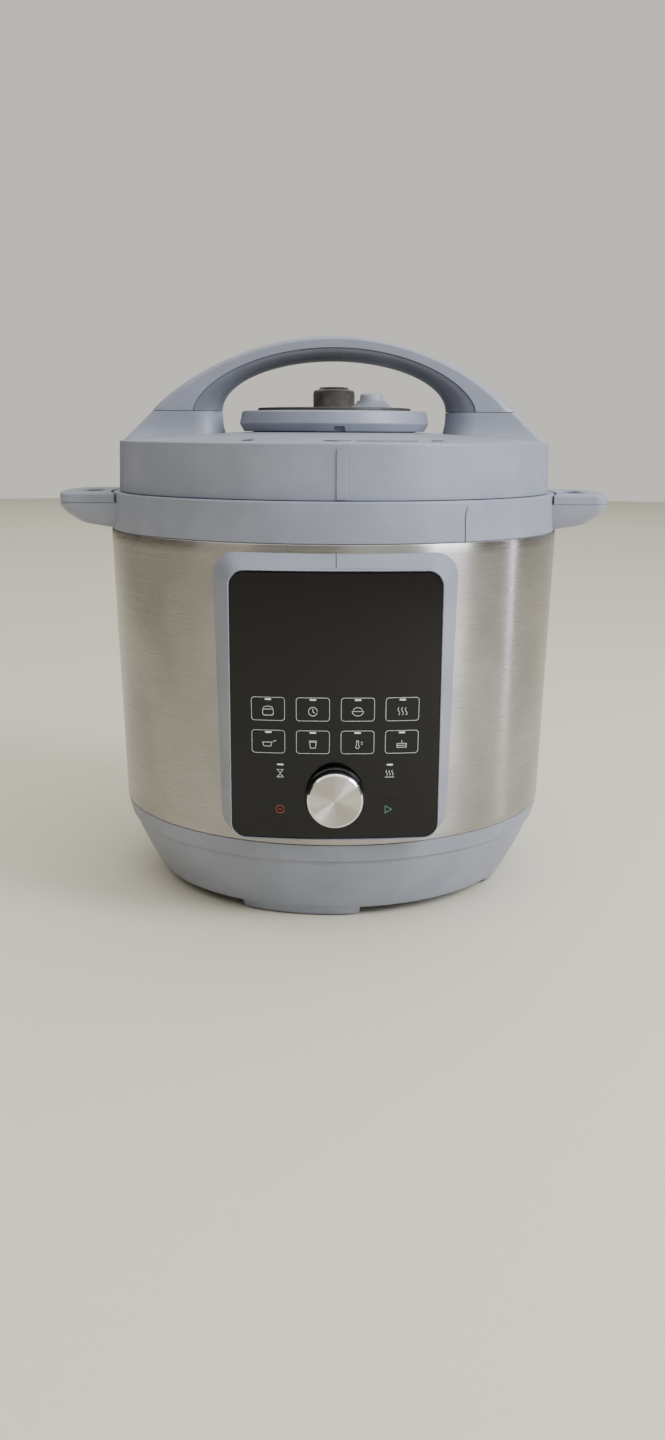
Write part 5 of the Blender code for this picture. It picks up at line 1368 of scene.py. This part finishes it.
def build_lid_handle():
    """Arched cover, the grip under it and the screws that hold them on their bosses."""
    steps = 120
    outline = eased([(0.0, -1.0, 0), (0.70, -1.0, 0.08), (0.96, -0.84, 0.14), (1.0, -0.40, 0.25),
                     (1.0, 0.40, 0.25), (0.96, 0.84, 0.14), (0.70, 1.0, 0.08), (0.0, 1.0, 0)], 6)
    under = eased([(1.0, -0.97, 0), (1.0, 0.97, 0), (0.62, 0.92, 0.20), (0.16, 0.66, 0.30),
                   (0.0, 0.20, 0.25), (0.0, -0.20, 0.25), (0.16, -0.66, 0.30),
                   (0.62, -0.92, 0.20)], 6)
    cover_rings = []
    grip_rings = []
    for i in range(steps + 1):
        a = math.pi * i / steps
        outer = arch_point(ARCH_HALF, ARCH_RISE, 0.90, a)
        edge = arch_point(EDGE_HALF, EDGE_RISE, 0.62, a)
        inner = arch_point(HOLE_HALF, HOLE_RISE, 0.50, a)
        cover_rings.append(across_handle(edge, outer, outline))
        reach = math.dist(edge, inner)
        seat = tuple(e + (n - e) * GAP / reach for e, n in zip(edge, inner))
        grip_rings.append(across_handle(inner, seat, under))
    cover = lofted("handle_cover", cover_rings)
    for word in ("left", "right"):
        low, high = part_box(f"handle_screw_{word}")
        spot = ((low.x + high.x) / 2, 0.0)
        cut(cover, add_turned,
            [(0, Z_PARTING - 0.002), (0.0024, Z_PARTING - 0.002), (0.0024, high.z + GAP),
             (0, high.z + GAP)], SMALL, upright(spot))
        head = (high.x - low.x) / 2
        corners = [(0, high.z, 0), (0.0021, high.z, 0.0004), (0.0021, low.z + 0.0022, 0),
                   (head, low.z + 0.0022, 0.0003), (head * 0.86, low.z, 0.0005), (0, low.z, 0)]
        screw = turned(f"handle_fixing_{word}", corners, SMALL, upright(spot))
        dress(screw, plated_steel(), "lid", "screw_steel", f"handle_screw_{word}")
    dress(cover, textured_abs(), "lid", "grey_plastic", "lid_handle_cover", sharp=38)
    dress(lofted("handle_grip", grip_rings), matt_grip(), "lid", "grip_plastic", "lid_handle_grip",
          sharp=50)


def across_handle(inner, outer, section):
    """Points across the handle, from its inner to its outer curve."""
    return [(inner[0] + share * (outer[0] - inner[0]), y * ARCH_HALF_D,
             inner[1] + share * (outer[1] - inner[1])) for share, y in section]


# ---- Valve deck and what stands on it
def add_round_cut(obj, spot, radius, low, high):
    """Drill an upright round hole through a piece."""
    cut(obj, add_turned, [(0, low), (radius, low), (radius, high), (0, high)], SMALL, upright(spot))


def build_deck():
    """Round deck with its slit, the dark plate let into it and the button's collar."""
    top = Z_DECK_TOP
    floor = PLATE_LOW.z - GAP
    well = PLATE_R + 0.0004
    corners = [
        (0, floor, 0), (well, floor, 0), (well, top, 0.0004), (DECK_R - 0.0018, top, 0.0013),
        (DECK_R, Z_DECK + 0.0044, 0.0006), (DECK_R - 0.0026, Z_DECK, 0.0004),
        (SPIGOT_R, Z_DECK, 0), (SPIGOT_R, Z_DECK - 0.0065, 0.0004),
        (SPIGOT_R - WALL, Z_DECK - 0.0065, 0.0004), (SPIGOT_R - WALL, floor - 0.003, 0),
        (0, floor - 0.003, 0)]
    deck = turned("deck_moulding", corners, ease=6)
    for spot, hole in ((VALVE_XY, PIPE_HOLE), (FLOAT_XY, FLOAT_HOLE)):
        add_round_cut(deck, spot, hole, floor - 0.006, floor + 0.002)
    rings = []
    for z, half in ((Z_DECK - 0.001, 0.0033), (Z_DECK + 0.0022, 0.0032), (Z_DECK + 0.0030, 0.0024)):
        rings.append([(0.0025 - half, -DECK_R - 0.001, z), (0.0025 + half, -DECK_R - 0.001, z),
                      (0.0025 + half, -DECK_R + 0.0045, z), (0.0025 - half, -DECK_R + 0.0045, z)])
    cut(deck, add_loft, rings)
    dress(deck, textured_abs(), "lid", "grey_plastic", "valve_deck", sharp=38)

    low = floor + GAP
    plate_top = Z_PLATE_TOP
    corners = [(0, plate_top, 0), (PLATE_R, plate_top, 0.0009), (PLATE_R, low, 0.0003), (0, low, 0)]
    plate = turned("deck_plate_disc", corners, ease=6)
    for spot, radius in ((BUTTON_XY, COLLAR_R - 0.0010), (VALVE_XY, VALVE_HOLE),
                         (FLOAT_XY, FLOAT_HOLE)):
        add_round_cut(plate, spot, radius, low - 0.001, plate_top + 0.002)
    join(plate, add_turned,
         [(COLLAR_R - 0.0009, low), (COLLAR_R - 0.0009, low + 0.0008),
          (COLLAR_BORE, low + 0.0008), (COLLAR_BORE, low)], MEDIUM, upright(BUTTON_XY))
    colours = bpy.context.scene.cooker_colours
    dress(plate, filled_nylon("glass_filled_nylon_dark", colours.dark), "lid", "dark_plastic",
          "deck_plate", sharp=38)

    rim = PLATE_HIGH.z
    rise = rim - plate_top
    flank = [(COLLAR_BORE + 0.0011 + (COLLAR_R - COLLAR_BORE - 0.0013) * share ** 1.25,
              plate_top + 0.0002 + (rise - 0.0004) * (1 - share) ** 1.25, 0)
             for share in (i / 12 for i in range(1, 13))]
    corners = [(COLLAR_BORE, low + 0.0010, 0), (COLLAR_BORE, rim, 0.0004),
               (COLLAR_BORE + 0.0011, rim, 0.0006), *flank,
               (COLLAR_R - 0.0012, plate_top - 0.0004, 0), (COLLAR_R - 0.0012, low + 0.0010, 0)]
    piece = turned("button_collar", corners, MEDIUM, upright(BUTTON_XY), ease=6)
    dress(piece, textured_abs(), "lid", "grey_plastic", "deck_plate")


def build_button():
    """Translucent cap of the quick release button, slightly domed."""
    radius = (BUTTON_HIGH.x - BUTTON_LOW.x) / 2
    top, low = BUTTON_HIGH.z, BUTTON_LOW.z
    corners = [(0, top, 0), (radius * 0.45, top - 0.00006, 0), (radius * 0.7, top - 0.00025, 0),
               (radius - 0.0003, top - 0.0006, 0.0008), (radius, top - 0.0030, 0),
               (radius, low, 0.0003), (radius - 0.0016, low, 0.0003),
               (radius - 0.0016, top - 0.0022, 0.0006), (0, top - 0.0022, 0)]
    piece = turned("release_button_cap", corners, MEDIUM, upright(BUTTON_XY), ease=7)
    dress(piece, frosted_silicone(), "release_button", "clear_white", "quick_release_button")
    corners = [(0, top - 0.0023, 0), (radius * 0.42, top - 0.0023, 0.0003),
               (radius * 0.42, low, 0.0003), (0, low, 0)]
    rod = turned("release_button_rod", corners, SMALL, upright(BUTTON_XY))
    colours = bpy.context.scene.cooker_colours
    dress(rod, filled_nylon("glass_filled_nylon_dark", colours.dark), "release_button",
          "dark_plastic")


def build_valves():
    """Steam valve with its raised disc, the steam pipe, its shield and the float valve."""
    colours = bpy.context.scene.cooker_colours
    radius = (VALVE_HIGH.x - VALVE_LOW.x) / 2
    top = VALVE_HIGH.z
    skirt = Z_PLATE_TOP + GAP
    floor = PLATE_LOW.z - GAP
    pipe_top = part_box("steam_pipe")[1].z
    cap_r = 0.0090
    corners = [
        (0, top, 0), (cap_r * 0.7, top, 0), (cap_r, top, 0.0012),
        (cap_r + 0.0004, top - 0.0016, 0.0006), (radius, top - 0.0018, 0.0034),
        (radius - 0.0002, skirt + 0.0006, 0.0002), (radius - 0.0008, skirt, 0.0003),
        (0.0066, skirt, 0.0003), (0.0066, floor + 0.001, 0.0003), (0.0044, floor + 0.001, 0),
        (0.0044, pipe_top + 0.0012, 0), (0, pipe_top + 0.0028, 0)]
    piece = turned("steam_valve_weight", corners, MEDIUM, upright(VALVE_XY), ease=7)
    dress(piece, filled_nylon("glass_filled_nylon_brown", colours.valve), "pressure_valve",
          "valve_plastic", "steam_valve", sharp=40)

    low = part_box("steam_pipe")[0].z
    seat = DISC_HIGH.z + GAP
    pipe = 0.0040
    corners = [(pipe, pipe_top, 0.0005), (pipe, seat + 0.002, 0),
               (pipe + 0.0042, seat + 0.002, 0.0004), (pipe + 0.005, seat, 0), (pipe, seat, 0),
               (pipe, low, 0.0004), (pipe - 0.0022, low, 0.0004), (pipe - 0.0022, pipe_top, 0.0004)]
    piece = turned("steam_pipe_turned", corners, SMALL, upright(VALVE_XY))
    dress(piece, plated_steel(), "lid", "screw_steel", "steam_pipe")

    low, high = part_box("anti_block_shield")
    outer = (high.x - low.x) / 2
    corners = [
        (outer, high.z, 0.0003), (outer, low.z + 0.0010, 0.0022), (outer - 0.0028, low.z, 0.0014),
        (0, low.z, 0), (0, low.z + 0.0010, 0), (outer - 0.0032, low.z + 0.0010, 0.0012),
        (outer - 0.0010, low.z + 0.0022, 0.0018), (outer - 0.0010, high.z, 0.0003)]
    shield = turned("steam_pipe_shield", corners, MEDIUM, upright(VALVE_XY))
    x, y = VALVE_XY
    middle = high.z - 0.0055
    slots = bmesh.new()
    for i in range(8):
        a = math.tau * (i + 0.5) / 8
        along, across = Vector((math.cos(a), math.sin(a))), Vector((-math.sin(a), math.cos(a)))
        outline = []
        for u, v in ((0.004, -0.0016), (0.018, -0.0016), (0.018, 0.0016), (0.004, 0.0016)):
            point = along * u + across * v
            outline.append((x + point.x, y + point.y))
        add_prism(slots, outline, middle - 0.0022, middle + 0.0022)
    combine(shield, slots, "DIFFERENCE")
    dress(shield, drawn_stainless(), "lid", "pressed_steel", "anti_block_shield")

    low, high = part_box("float_valve")
    pin = (high.x - low.x) / 2
    corners = [(0, high.z, 0), (pin, high.z, 0.0008), (pin, low.z, 0.0004), (0, low.z, 0)]
    piece = turned("float_pin", corners, SMALL, upright(FLOAT_XY))
    dress(piece, drawn_stainless(), "float", "pressed_steel", "float_valve")
    low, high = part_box("float_cap")
    rim = (high.x - low.x) / 2
    inner = pin + GAP
    corners = [(rim - 0.0008, high.z, 0.0004), (rim, high.z - 0.0012, 0.0008),
               (rim - 0.0012, low.z, 0.0006), (inner, low.z, 0), (inner, high.z, 0)]
    piece = turned("float_seal", corners, SMALL, upright(FLOAT_XY))
    dress(piece, seal_silicone(), "float", "silicone", "float_cap")


# ---- Steel and silicone inside
LUGS = 8
LUG_W = math.radians(20)


def build_inside():
    """Liner, locking flange, heater and its sensor."""
    low, high = LINER_LOW.z, LINER_HIGH.z
    lip = LINER_HIGH.x
    radius = lip - 0.0067
    sheet = STEEL_T
    hole = 0.0055
    inner = radius - sheet
    corners = [
        (lip, high, 0.0002), (lip, high - sheet, 0.0002), (radius, high - sheet, 0.0006),
        (radius, low, 0.0055), (hole, low, 0), (hole, low + sheet, 0),
        (inner, low + sheet, 0.0050), (inner, high, 0.0012)]
    dress(turned("liner_drawn", corners, ease=8), drawn_stainless(), "base", "pressed_steel",
          "inner_liner")

    low, high = FLANGE_LOW.z, FLANGE_HIGH.z
    reach = max(FLANGE_HIGH.x, FLANGE_HIGH.y)
    hole = POT_HIGH.x - 0.0087 + 0.0022
    outline = []
    ring = []
    pitch = math.tau / LUGS
    slope = 0.03
    for i in range(FINE):
        turn = math.tau * i / FINE
        off = abs((turn + pitch / 2) % pitch - pitch / 2)
        share = min(1.0, max(0.0, (LUG_W / 2 + slope - off) / slope))
        share = share * share * (3 - 2 * share)
        outline.append(polar(lip + share * (reach - lip), turn))
        ring.append(polar(hole, turn))
    edge = 0.0004
    levels = []
    for line, z, k in ((outline, high, -edge), (outline, high - edge, 0), (outline, low + edge, 0),
                       (outline, low, -edge), (ring, low, edge), (ring, low + edge, 0),
                       (ring, high - edge, 0), (ring, high, edge)):
        levels.append([(x * (1 + k / math.hypot(x, y)), y * (1 + k / math.hypot(x, y)), z)
                       for x, y in line])
    dress(lofted("flange_pressed", levels, True), drawn_stainless(), "base", "pressed_steel",
          "locking_flange")

    low, high = HEATER_LOW.z, HEATER_HIGH.z
    radius = HEATER_HIGH.x
    leg = 0.0031
    corners = [(radius, high, 0.0012), (radius, low + leg + 0.002, 0.0008),
               (radius * 0.8, low + leg, 0.004), (0.0150, low + leg, 0.0005),
               (0.0150, high, 0.0009)]
    heater = turned("heater_casting", corners)
    legs = bmesh.new()
    for i in range(3):
        spot = polar(radius * 0.6, math.tau * i / 3)
        add_turned(legs, eased([(0, low + leg + 0.001, 0), (0.005, low + leg + 0.001, 0),
                                (0.005, low, 0.0008), (0, low, 0)]), SMALL, upright(spot))
    combine(heater, legs, "UNION")
    dress(heater, cast_aluminium(), "base", "cast_aluminium", "heater_plate")

    low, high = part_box("sensor_plunger")
    cap, stem = (high.x - low.x) / 2, 0.0040
    clip = LINER_LOW.z - 0.0012
    corners = [
        (0, high.z, 0), (cap, high.z, 0.0014), (cap, high.z - 0.0040, 0.0006),
        (stem, high.z - 0.0040, 0.0004), (stem, clip, 0), (stem + 0.0030, clip, 0.0003),
        (stem + 0.0030, clip - 0.0012, 0.0003), (stem, clip - 0.0012, 0), (stem, low.z, 0.0006),
        (0, low.z, 0)]
    dress(turned("sensor_cap_and_stem", corners, MEDIUM), cast_aluminium(), "temperature_sensor",
          "spun_aluminium", "sensor_plunger")


def build_pot():
    """Cooking pot with its turned-out rim and the fill marks pressed into its wall."""
    low, high = POT_LOW.z, POT_HIGH.z
    rim = POT_HIGH.x
    radius = rim - 0.0087
    sheet, base = 0.0008, 0.0025
    inner = radius - sheet
    corners = [
        (0, low, 0), (radius - 0.012, low, 0), (radius, low, 0.0075),
        (radius, high - sheet, 0.0022), (rim, high - sheet, 0.0003), (rim, high, 0.0003),
        (inner, high, 0.0028), (inner, low + base, 0.0085), (0, low + base, 0)]
    pot = turned("pot_drawn", corners, ease=9)
    grooves = bmesh.new()
    for level in range(6):
        z = low + 0.030 + level * 0.018
        span = math.radians(11 if level % 2 else 7)
        outline = []
        for sign, depth in ((1, 0.0003), (-1, -0.002)):
            points = [polar(inner + depth, math.pi + sign * (span * i / 10 - span / 2))
                      for i in range(11)]
            outline += points
        add_prism(grooves, outline, z, z + 0.0009)
    combine(pot, grooves, "DIFFERENCE")
    dress(pot, drawn_stainless(), "pot", "pressed_steel", "inner_pot")


def build_lid_inside():
    """Lid's steel disc with its locking lugs, the sealing ring and the ring's rack."""
    low, high = DISC_LOW.z, DISC_HIGH.z
    radius = DISC_HIGH.x
    sheet = 0.0012
    under = high - sheet
    tip = radius - 0.0027
    corners = [
        (0, high, 0), (radius - 0.017, high, 0), (radius - 0.0045, high - 0.0012, 0.003),
        (radius, under - 0.0050, 0.006), (radius, low, 0.0003), (radius - sheet, low, 0.0003),
        (radius - sheet, under - 0.0056, 0.005), (radius - 0.0060, under - 0.0014, 0.003),
        (radius - 0.018, under, 0.004), (0, under, 0)]
    disc = turned("lid_disc_drawn", corners, ease=7)
    lugs = bmesh.new()
    for i in range(LUGS):
        outline = sector(tip, radius - sheet / 2, i * math.tau / LUGS, LUG_W, steps=10)
        levels = [(low + 0.0002, 0.0004), (low + 0.0006, 0.0), (low + 0.0026, 0.0),
                  (low + 0.0030, 0.0004)]
        rings = []
        for z, inset in levels:
            ring = []
            for x, y in outline:
                reach = math.hypot(x, y)
                grow = 1 + (inset / reach if reach < radius - sheet else 0.0)
                ring.append((x * grow, y * grow, z))
            rings.append(ring)
        add_loft(lugs, rings)
    combine(disc, lugs, "UNION")
    for spot, hole in ((VALVE_XY, PIPE_HOLE), (FLOAT_XY, FLOAT_HOLE)):
        add_round_cut(disc, spot, hole, under - 0.005, under + 0.005)
    dress(disc, drawn_stainless(), "lid", "pressed_steel", "lid_disc")

    low, high = SEAL_LOW.z, SEAL_HIGH.z
    outer, inner = SEAL_HIGH.x, SEAL_HIGH.x - 0.0080
    corners = [
        (outer, high, 0.0008), (outer - 0.0016, low + 0.004, 0.003), (outer, low, 0.0006),
        (inner + 0.0005, low, 0.0006), (inner + 0.0005, low + 0.0030, 0.0006),
        (inner + 0.0030, low + 0.0038, 0.0008), (inner + 0.0030, high - 0.0026, 0.0006),
        (inner + 0.0005, high - 0.0020, 0.0005), (inner + 0.0005, high, 0.0005)]
    dress(turned("seal_moulding", corners, ease=6), seal_silicone(), "seal", "silicone",
          "sealing_ring")

    rack_out = inner + 0.0025
    rack_low, rack_top = low + 0.0045, high - 0.0032
    width = 0.0012
    middle = (rack_low + rack_top) / 2
    half = (rack_top - rack_low) / 2
    line = [(rack_out - width / 2 + width / 2 * math.cos(a), middle + half * math.sin(a))
            for a in (math.tau * i / 20 for i in range(20))]
    rack = mesh_object("seal_rack_wire", shape(add_turned, line))
    arm = (rack_out - 0.0052, rack_out - width / 2, 0.05, rack_low + 0.0004, rack_low + 0.0014)
    post = (rack_out - 0.0060, rack_out - 0.0046, 0.06, rack_low + 0.0002, under - GAP)
    for start, end, span, bottom, top in (arm, post):
        spokes = bmesh.new()
        for i in range(6):
            outline = sector(start, end, i * math.tau / 6, span, steps=6)
            add_prism(spokes, outline, bottom, top)
        combine(rack, spokes, "UNION")
    dress(rack, drawn_stainless(), "lid", "pressed_steel", "sealing_ring_rack")


# ---- Power inlet and the pieces that keep their frame shapes
def build_inlet():
    """Appliance inlet: a flanged socket with a rounded well and three pins."""
    low, high = INLET_LOW, INLET_HIGH
    half = high.x
    middle = (low.z + high.z) / 2
    face = high.y

    def section(y, half_w, half_h, corner):
        return [(x, y, z) for x, z in rounded(half_w, middle - half_h, middle + half_h, corner,
                                              4, 4, 6)]
    tall = (high.z - low.z) / 2
    well_w, well_h, depth = 0.0120, 0.00825, 0.017
    sections = [section(low.y, half - 0.001, tall - 0.001, 0.0015),
                section(low.y + 0.001, half, tall, 0.0020),
                section(face - 0.0006, half, tall, 0.0020),
                section(face - 0.0001, half - 0.0003, tall - 0.0003, 0.0020),
                section(face, half - 0.0007, tall - 0.0007, 0.0018),
                section(face, well_w + 0.0006, well_h + 0.0006, 0.0034),
                section(face - 0.0002, well_w + 0.0002, well_h + 0.0002, 0.0032),
                section(face - 0.0008, well_w, well_h, 0.0030),
                section(face - depth, well_w, well_h, 0.0030)]
    socket = lofted("inlet_socket", sections)
    dress(socket, filled_nylon("glass_filled_nylon_black", "1B1B1C"), "base", "dark_plastic",
          "power_inlet")
    floor = face - depth
    pins = bmesh.new()
    for x, z in ((-0.007, middle - 0.002), (0.007, middle - 0.002), (0.0, middle + 0.002)):
        rings = []
        for y, w, h in ((floor - 0.001, 0.001, 0.002), (floor + 0.0108, 0.001, 0.002),
                        (floor + 0.0118, 0.0007, 0.0017), (floor + 0.0120, 0.0004, 0.0014)):
            rings.append([(x - w, y, z - h), (x + w, y, z - h), (x + w, y, z + h),
                          (x - w, y, z + h)])
        add_loft(pins, rings)
    dress(mesh_object("inlet_pins", pins), plated_steel(), "base", "screw_steel")


KEPT = {
    "power_board": board_lacquer, "control_board": board_lacquer,
    "pressure_switch": lambda: filled_nylon("glass_filled_nylon_black", "1B1B1C"),
    "thermal_fuse": plated_steel, "display_module": painted_acrylic,
    "encoder_body": plated_steel, "knob_shaft": plated_steel, "sensor_spring": plated_steel,
}


def finish_kept_nodes():
    """Give the hidden pieces that keep their frame shapes their real finishes."""
    for name, finish in KEPT.items():
        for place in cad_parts[name].material_slots:
            place.material = finish()


# ---- Floor, lamps and camera
def add_lamp(name, place, target, size, power, colour):
    """Soft rectangular lamp that the camera doesn't see."""
    data = bpy.data.lights.new(name, "AREA")
    data.shape = "RECTANGLE"
    data.size, data.size_y = size
    data.energy = power * bpy.context.scene.cooker_stage.light
    data.color = linear(colour)[:3]
    lamp = bpy.data.objects.new(name, data)
    lamp.location = place
    lamp.rotation_euler = (Vector(target) - Vector(place)).to_track_quat("-Z", "Y").to_euler()
    lamp.visible_camera = False
    bpy.context.scene.collection.objects.link(lamp)
    return lamp


def build_floor():
    """Matt counter top with a soft, slightly mottled surface."""
    colours = bpy.context.scene.cooker_colours
    material, tree, shader = new_material("matt_counter_laminate", colours.floor, 0.75)
    add_grain(tree, shader, 1.2, 0.004, 0.68, 0.82)
    bm = bmesh.new()
    rings = []
    for z, reach in ((-0.004, 5.0), (-0.0002, 5.0), (0.0, 4.9998)):
        rings.append([(reach * math.cos(a), reach * math.sin(a), z)
                      for a in (math.tau * i / 64 for i in range(64))])
    add_loft(bm, rings)
    floor = mesh_object("counter_top", bm)
    floor.data.materials.append(material)


def light_room():
    """Plain studio surroundings: paler at the right front and behind, with soft upright bands."""
    world = bpy.context.scene.world or bpy.data.worlds.new("studio")
    bpy.context.scene.world = world
    world.use_nodes = True
    tree = world.node_tree
    tree.nodes.clear()
    place = add_node(tree, "TexCoord").outputs["Generated"]
    split = add_node(tree, "SeparateXYZ", None, {"Vector": place})
    turn = add_node(tree, "Math", {"operation": "ARCTAN2"},
                    {0: split.outputs["X"], 1: split.outputs["Y"]})
    share = add_node(tree, "MapRange", None, {"Value": turn.outputs["Value"],
                                              "From Min": -math.pi, "From Max": math.pi})
    bands = add_node(tree, "ValToRGB", None, {"Fac": share.outputs["Result"]})
    ramp = bands.color_ramp
    ramp.interpolation = "EASE"
    stops = ((0.00, "6A6866"), (0.06, "4A4744"), (0.13, "4C463F"), (0.19, "3A332C"),
             (0.24, "2C2520"), (0.29, "42362C"), (0.33, "2C261F"), (0.38, "4A4434"),
             (0.43, "6A6454"), (0.47, "B0ADA5"), (0.53, "D6D5D0"), (0.60, "B6B5B0"),
             (0.66, "9C9B99"), (0.70, "6A6A6A"), (0.735, "8E8D90"), (0.75, "626161"),
             (0.79, "8A8987"), (0.83, "D0CFCD"), (0.90, "D8DAE0"), (0.965, "E4E6EC"),
             (1.00, "8A8987"))
    while len(ramp.elements) < len(stops):
        ramp.elements.new(0.5)
    for element, (spot, code) in zip(ramp.elements, stops):
        element.position = spot
        element.color = linear(code)
    up = add_node(tree, "MapRange", None, {"Value": split.outputs["Z"], "From Min": -0.1,
                                           "From Max": 0.7, "To Min": 0.85, "To Max": 1.0})
    room = add_node(tree, "Mix", {"data_type": "RGBA", "blend_type": "MULTIPLY"},
                    {"Factor": 1.0, "A": bands.outputs["Color"], "B": up.outputs["Result"]})
    seen = add_node(tree, "LightPath").outputs["Is Camera Ray"]
    shown = add_node(tree, "Mix", {"data_type": "RGBA"},
                     {"Factor": seen, "A": room.outputs["Result"], "B": linear("DCD9CF")})
    glow = add_node(tree, "Background", None, {"Color": shown.outputs["Result"], "Strength": 1.0})
    out = add_node(tree, "OutputWorld")
    tree.links.new(glow.outputs["Background"], out.inputs["Surface"])


def place_camera():
    """Camera in front and above, looking down at the front of the cooker."""
    stage = bpy.context.scene.cooker_stage
    data = bpy.data.cameras.new("camera")
    data.lens = stage.lens
    data.sensor_width = 36.0
    data.shift_y = stage.rise
    data.clip_start, data.clip_end = 0.01, 20.0
    camera = bpy.data.objects.new("camera", data)
    camera.matrix_world = (
        Matrix.Translation((stage.aside, -stage.distance, stage.height))
        @ Matrix.Rotation(stage.yaw, 4, "Z")
        @ Matrix.Rotation(math.radians(90) - stage.pitch, 4, "X")
        @ Matrix.Rotation(stage.roll, 4, "Z"))
    bpy.context.scene.collection.objects.link(camera)
    bpy.context.scene.camera = camera


def build_stage():
    """Counter top, lamps, surroundings and camera."""
    build_floor()
    light_room()
    add_lamp("key_lamp", (1.25, -0.75, 0.95), (0.0, 0.0, 0.16), (0.6, 0.8), 26.0, "F3F6FF")
    add_lamp("fill_lamp", (-1.3, -0.9, 0.9), (0.0, 0.0, 0.15), (0.9, 1.2), 1.6, "FBF0E0")
    add_lamp("strip_lamp", (1.30, 0.16, 0.40), (0.0, 0.0, 0.15), (0.035, 1.0), 1.6, "EDEBFF")
    add_lamp("top_lamp", (0.0, 0.3, 3.0), (0.0, 0.3, 0.0), (8.0, 8.0), 260.0, "FFFDF8")
    place_camera()


# ---- Operators, panel and registration
class PieceOperator:
    """What the operators share."""
    bl_options = {"REGISTER", "UNDO"}
    parts = ()

    def execute(self, context):
        for part in self.parts:
            part()
        return {"FINISHED"}


class COOKER_OT_base(PieceOperator, bpy.types.Operator):
    """Build the base housing, its feet, pads, cover and inlet"""
    bl_idname = "cooker.base"
    bl_label = "Base"
    parts = (build_base, build_underside, build_inlet)


class COOKER_OT_wrap(PieceOperator, bpy.types.Operator):
    """Build the brushed steel wrap"""
    bl_idname = "cooker.wrap"
    bl_label = "Steel wrap"
    parts = (build_wrap,)


class COOKER_OT_ring(PieceOperator, bpy.types.Operator):
    """Build the top ring with its side handles and the cup behind"""
    bl_idname = "cooker.ring"
    bl_label = "Ring and handles"
    parts = (build_ring, build_collector)


class COOKER_OT_panel(PieceOperator, bpy.types.Operator):
    """Build the bezel, the fascia and the twelve keys"""
    bl_idname = "cooker.panel"
    bl_label = "Control panel"
    parts = (build_panel, build_keys)


class COOKER_OT_knob(PieceOperator, bpy.types.Operator):
    """Build the control knob"""
    bl_idname = "cooker.knob"
    bl_label = "Knob"
    parts = (build_knob,)


class COOKER_OT_lid(PieceOperator, bpy.types.Operator):
    """Build the lid's shell and its moulded signs"""
    bl_idname = "cooker.lid"
    bl_label = "Lid"
    parts = (build_lid_shell,)


class COOKER_OT_handle(PieceOperator, bpy.types.Operator):
    """Build the lid's handle, its grip and its screws"""
    bl_idname = "cooker.handle"
    bl_label = "Lid handle"
    parts = (build_lid_handle,)


class COOKER_OT_deck(PieceOperator, bpy.types.Operator):
    """Build the valve deck, its plate, the button's collar and the button"""
    bl_idname = "cooker.deck"
    bl_label = "Valve deck"
    parts = (build_deck, build_button)


class COOKER_OT_valves(PieceOperator, bpy.types.Operator):
    """Build the steam valve, its pipe and shield, and the float valve"""
    bl_idname = "cooker.valves"
    bl_label = "Valves"
    parts = (build_valves,)


class COOKER_OT_inside(PieceOperator, bpy.types.Operator):
    """Build the liner, flange, heater, sensor, pot and the steel under the lid"""
    bl_idname = "cooker.inside"
    bl_label = "Inside"
    parts = (build_inside, build_pot, build_lid_inside, finish_kept_nodes)


class COOKER_OT_stage(PieceOperator, bpy.types.Operator):
    """Build the counter top, the lamps, the surroundings and the camera"""
    bl_idname = "cooker.stage"
    bl_label = "Stage"
    parts = (build_stage,)


OPERATORS = (COOKER_OT_base, COOKER_OT_wrap, COOKER_OT_ring, COOKER_OT_panel, COOKER_OT_knob,
             COOKER_OT_lid, COOKER_OT_handle, COOKER_OT_deck, COOKER_OT_valves,
             COOKER_OT_inside, COOKER_OT_stage)


class COOKER_PT_panel(bpy.types.Panel):
    """Sizes, colours, stage and the operators that build the pieces"""
    bl_idname = "COOKER_PT_panel"
    bl_label = "Pressure cooker"
    bl_space_type = "VIEW_3D"
    bl_region_type = "UI"
    bl_category = "Cooker"

    def draw(self, context):
        for group in (context.scene.cooker_sizes, context.scene.cooker_colours,
                      context.scene.cooker_stage):
            box = self.layout.box()
            for name in group.bl_rna.properties.keys():
                if name not in ("rna_type", "name"):
                    box.prop(group, name)
        for operator in OPERATORS:
            self.layout.operator(operator.bl_idname)


CLASSES = (CookerSizes, CookerColours, CookerStage, *OPERATORS, COOKER_PT_panel)


def register():
    for kind in CLASSES:
        bpy.utils.register_class(kind)
    bpy.types.Scene.cooker_sizes = bpy.props.PointerProperty(type=CookerSizes)
    bpy.types.Scene.cooker_colours = bpy.props.PointerProperty(type=CookerColours)
    bpy.types.Scene.cooker_stage = bpy.props.PointerProperty(type=CookerStage)


def unregister():
    for name in ("cooker_stage", "cooker_colours", "cooker_sizes"):
        delattr(bpy.types.Scene, name)
    for kind in reversed(CLASSES):
        bpy.utils.unregister_class(kind)


def main():
    register()
    for operator in OPERATORS:
        group, name = operator.bl_idname.split(".")
        getattr(getattr(bpy.ops, group), name)()


if __name__ == "__main__":
    main()
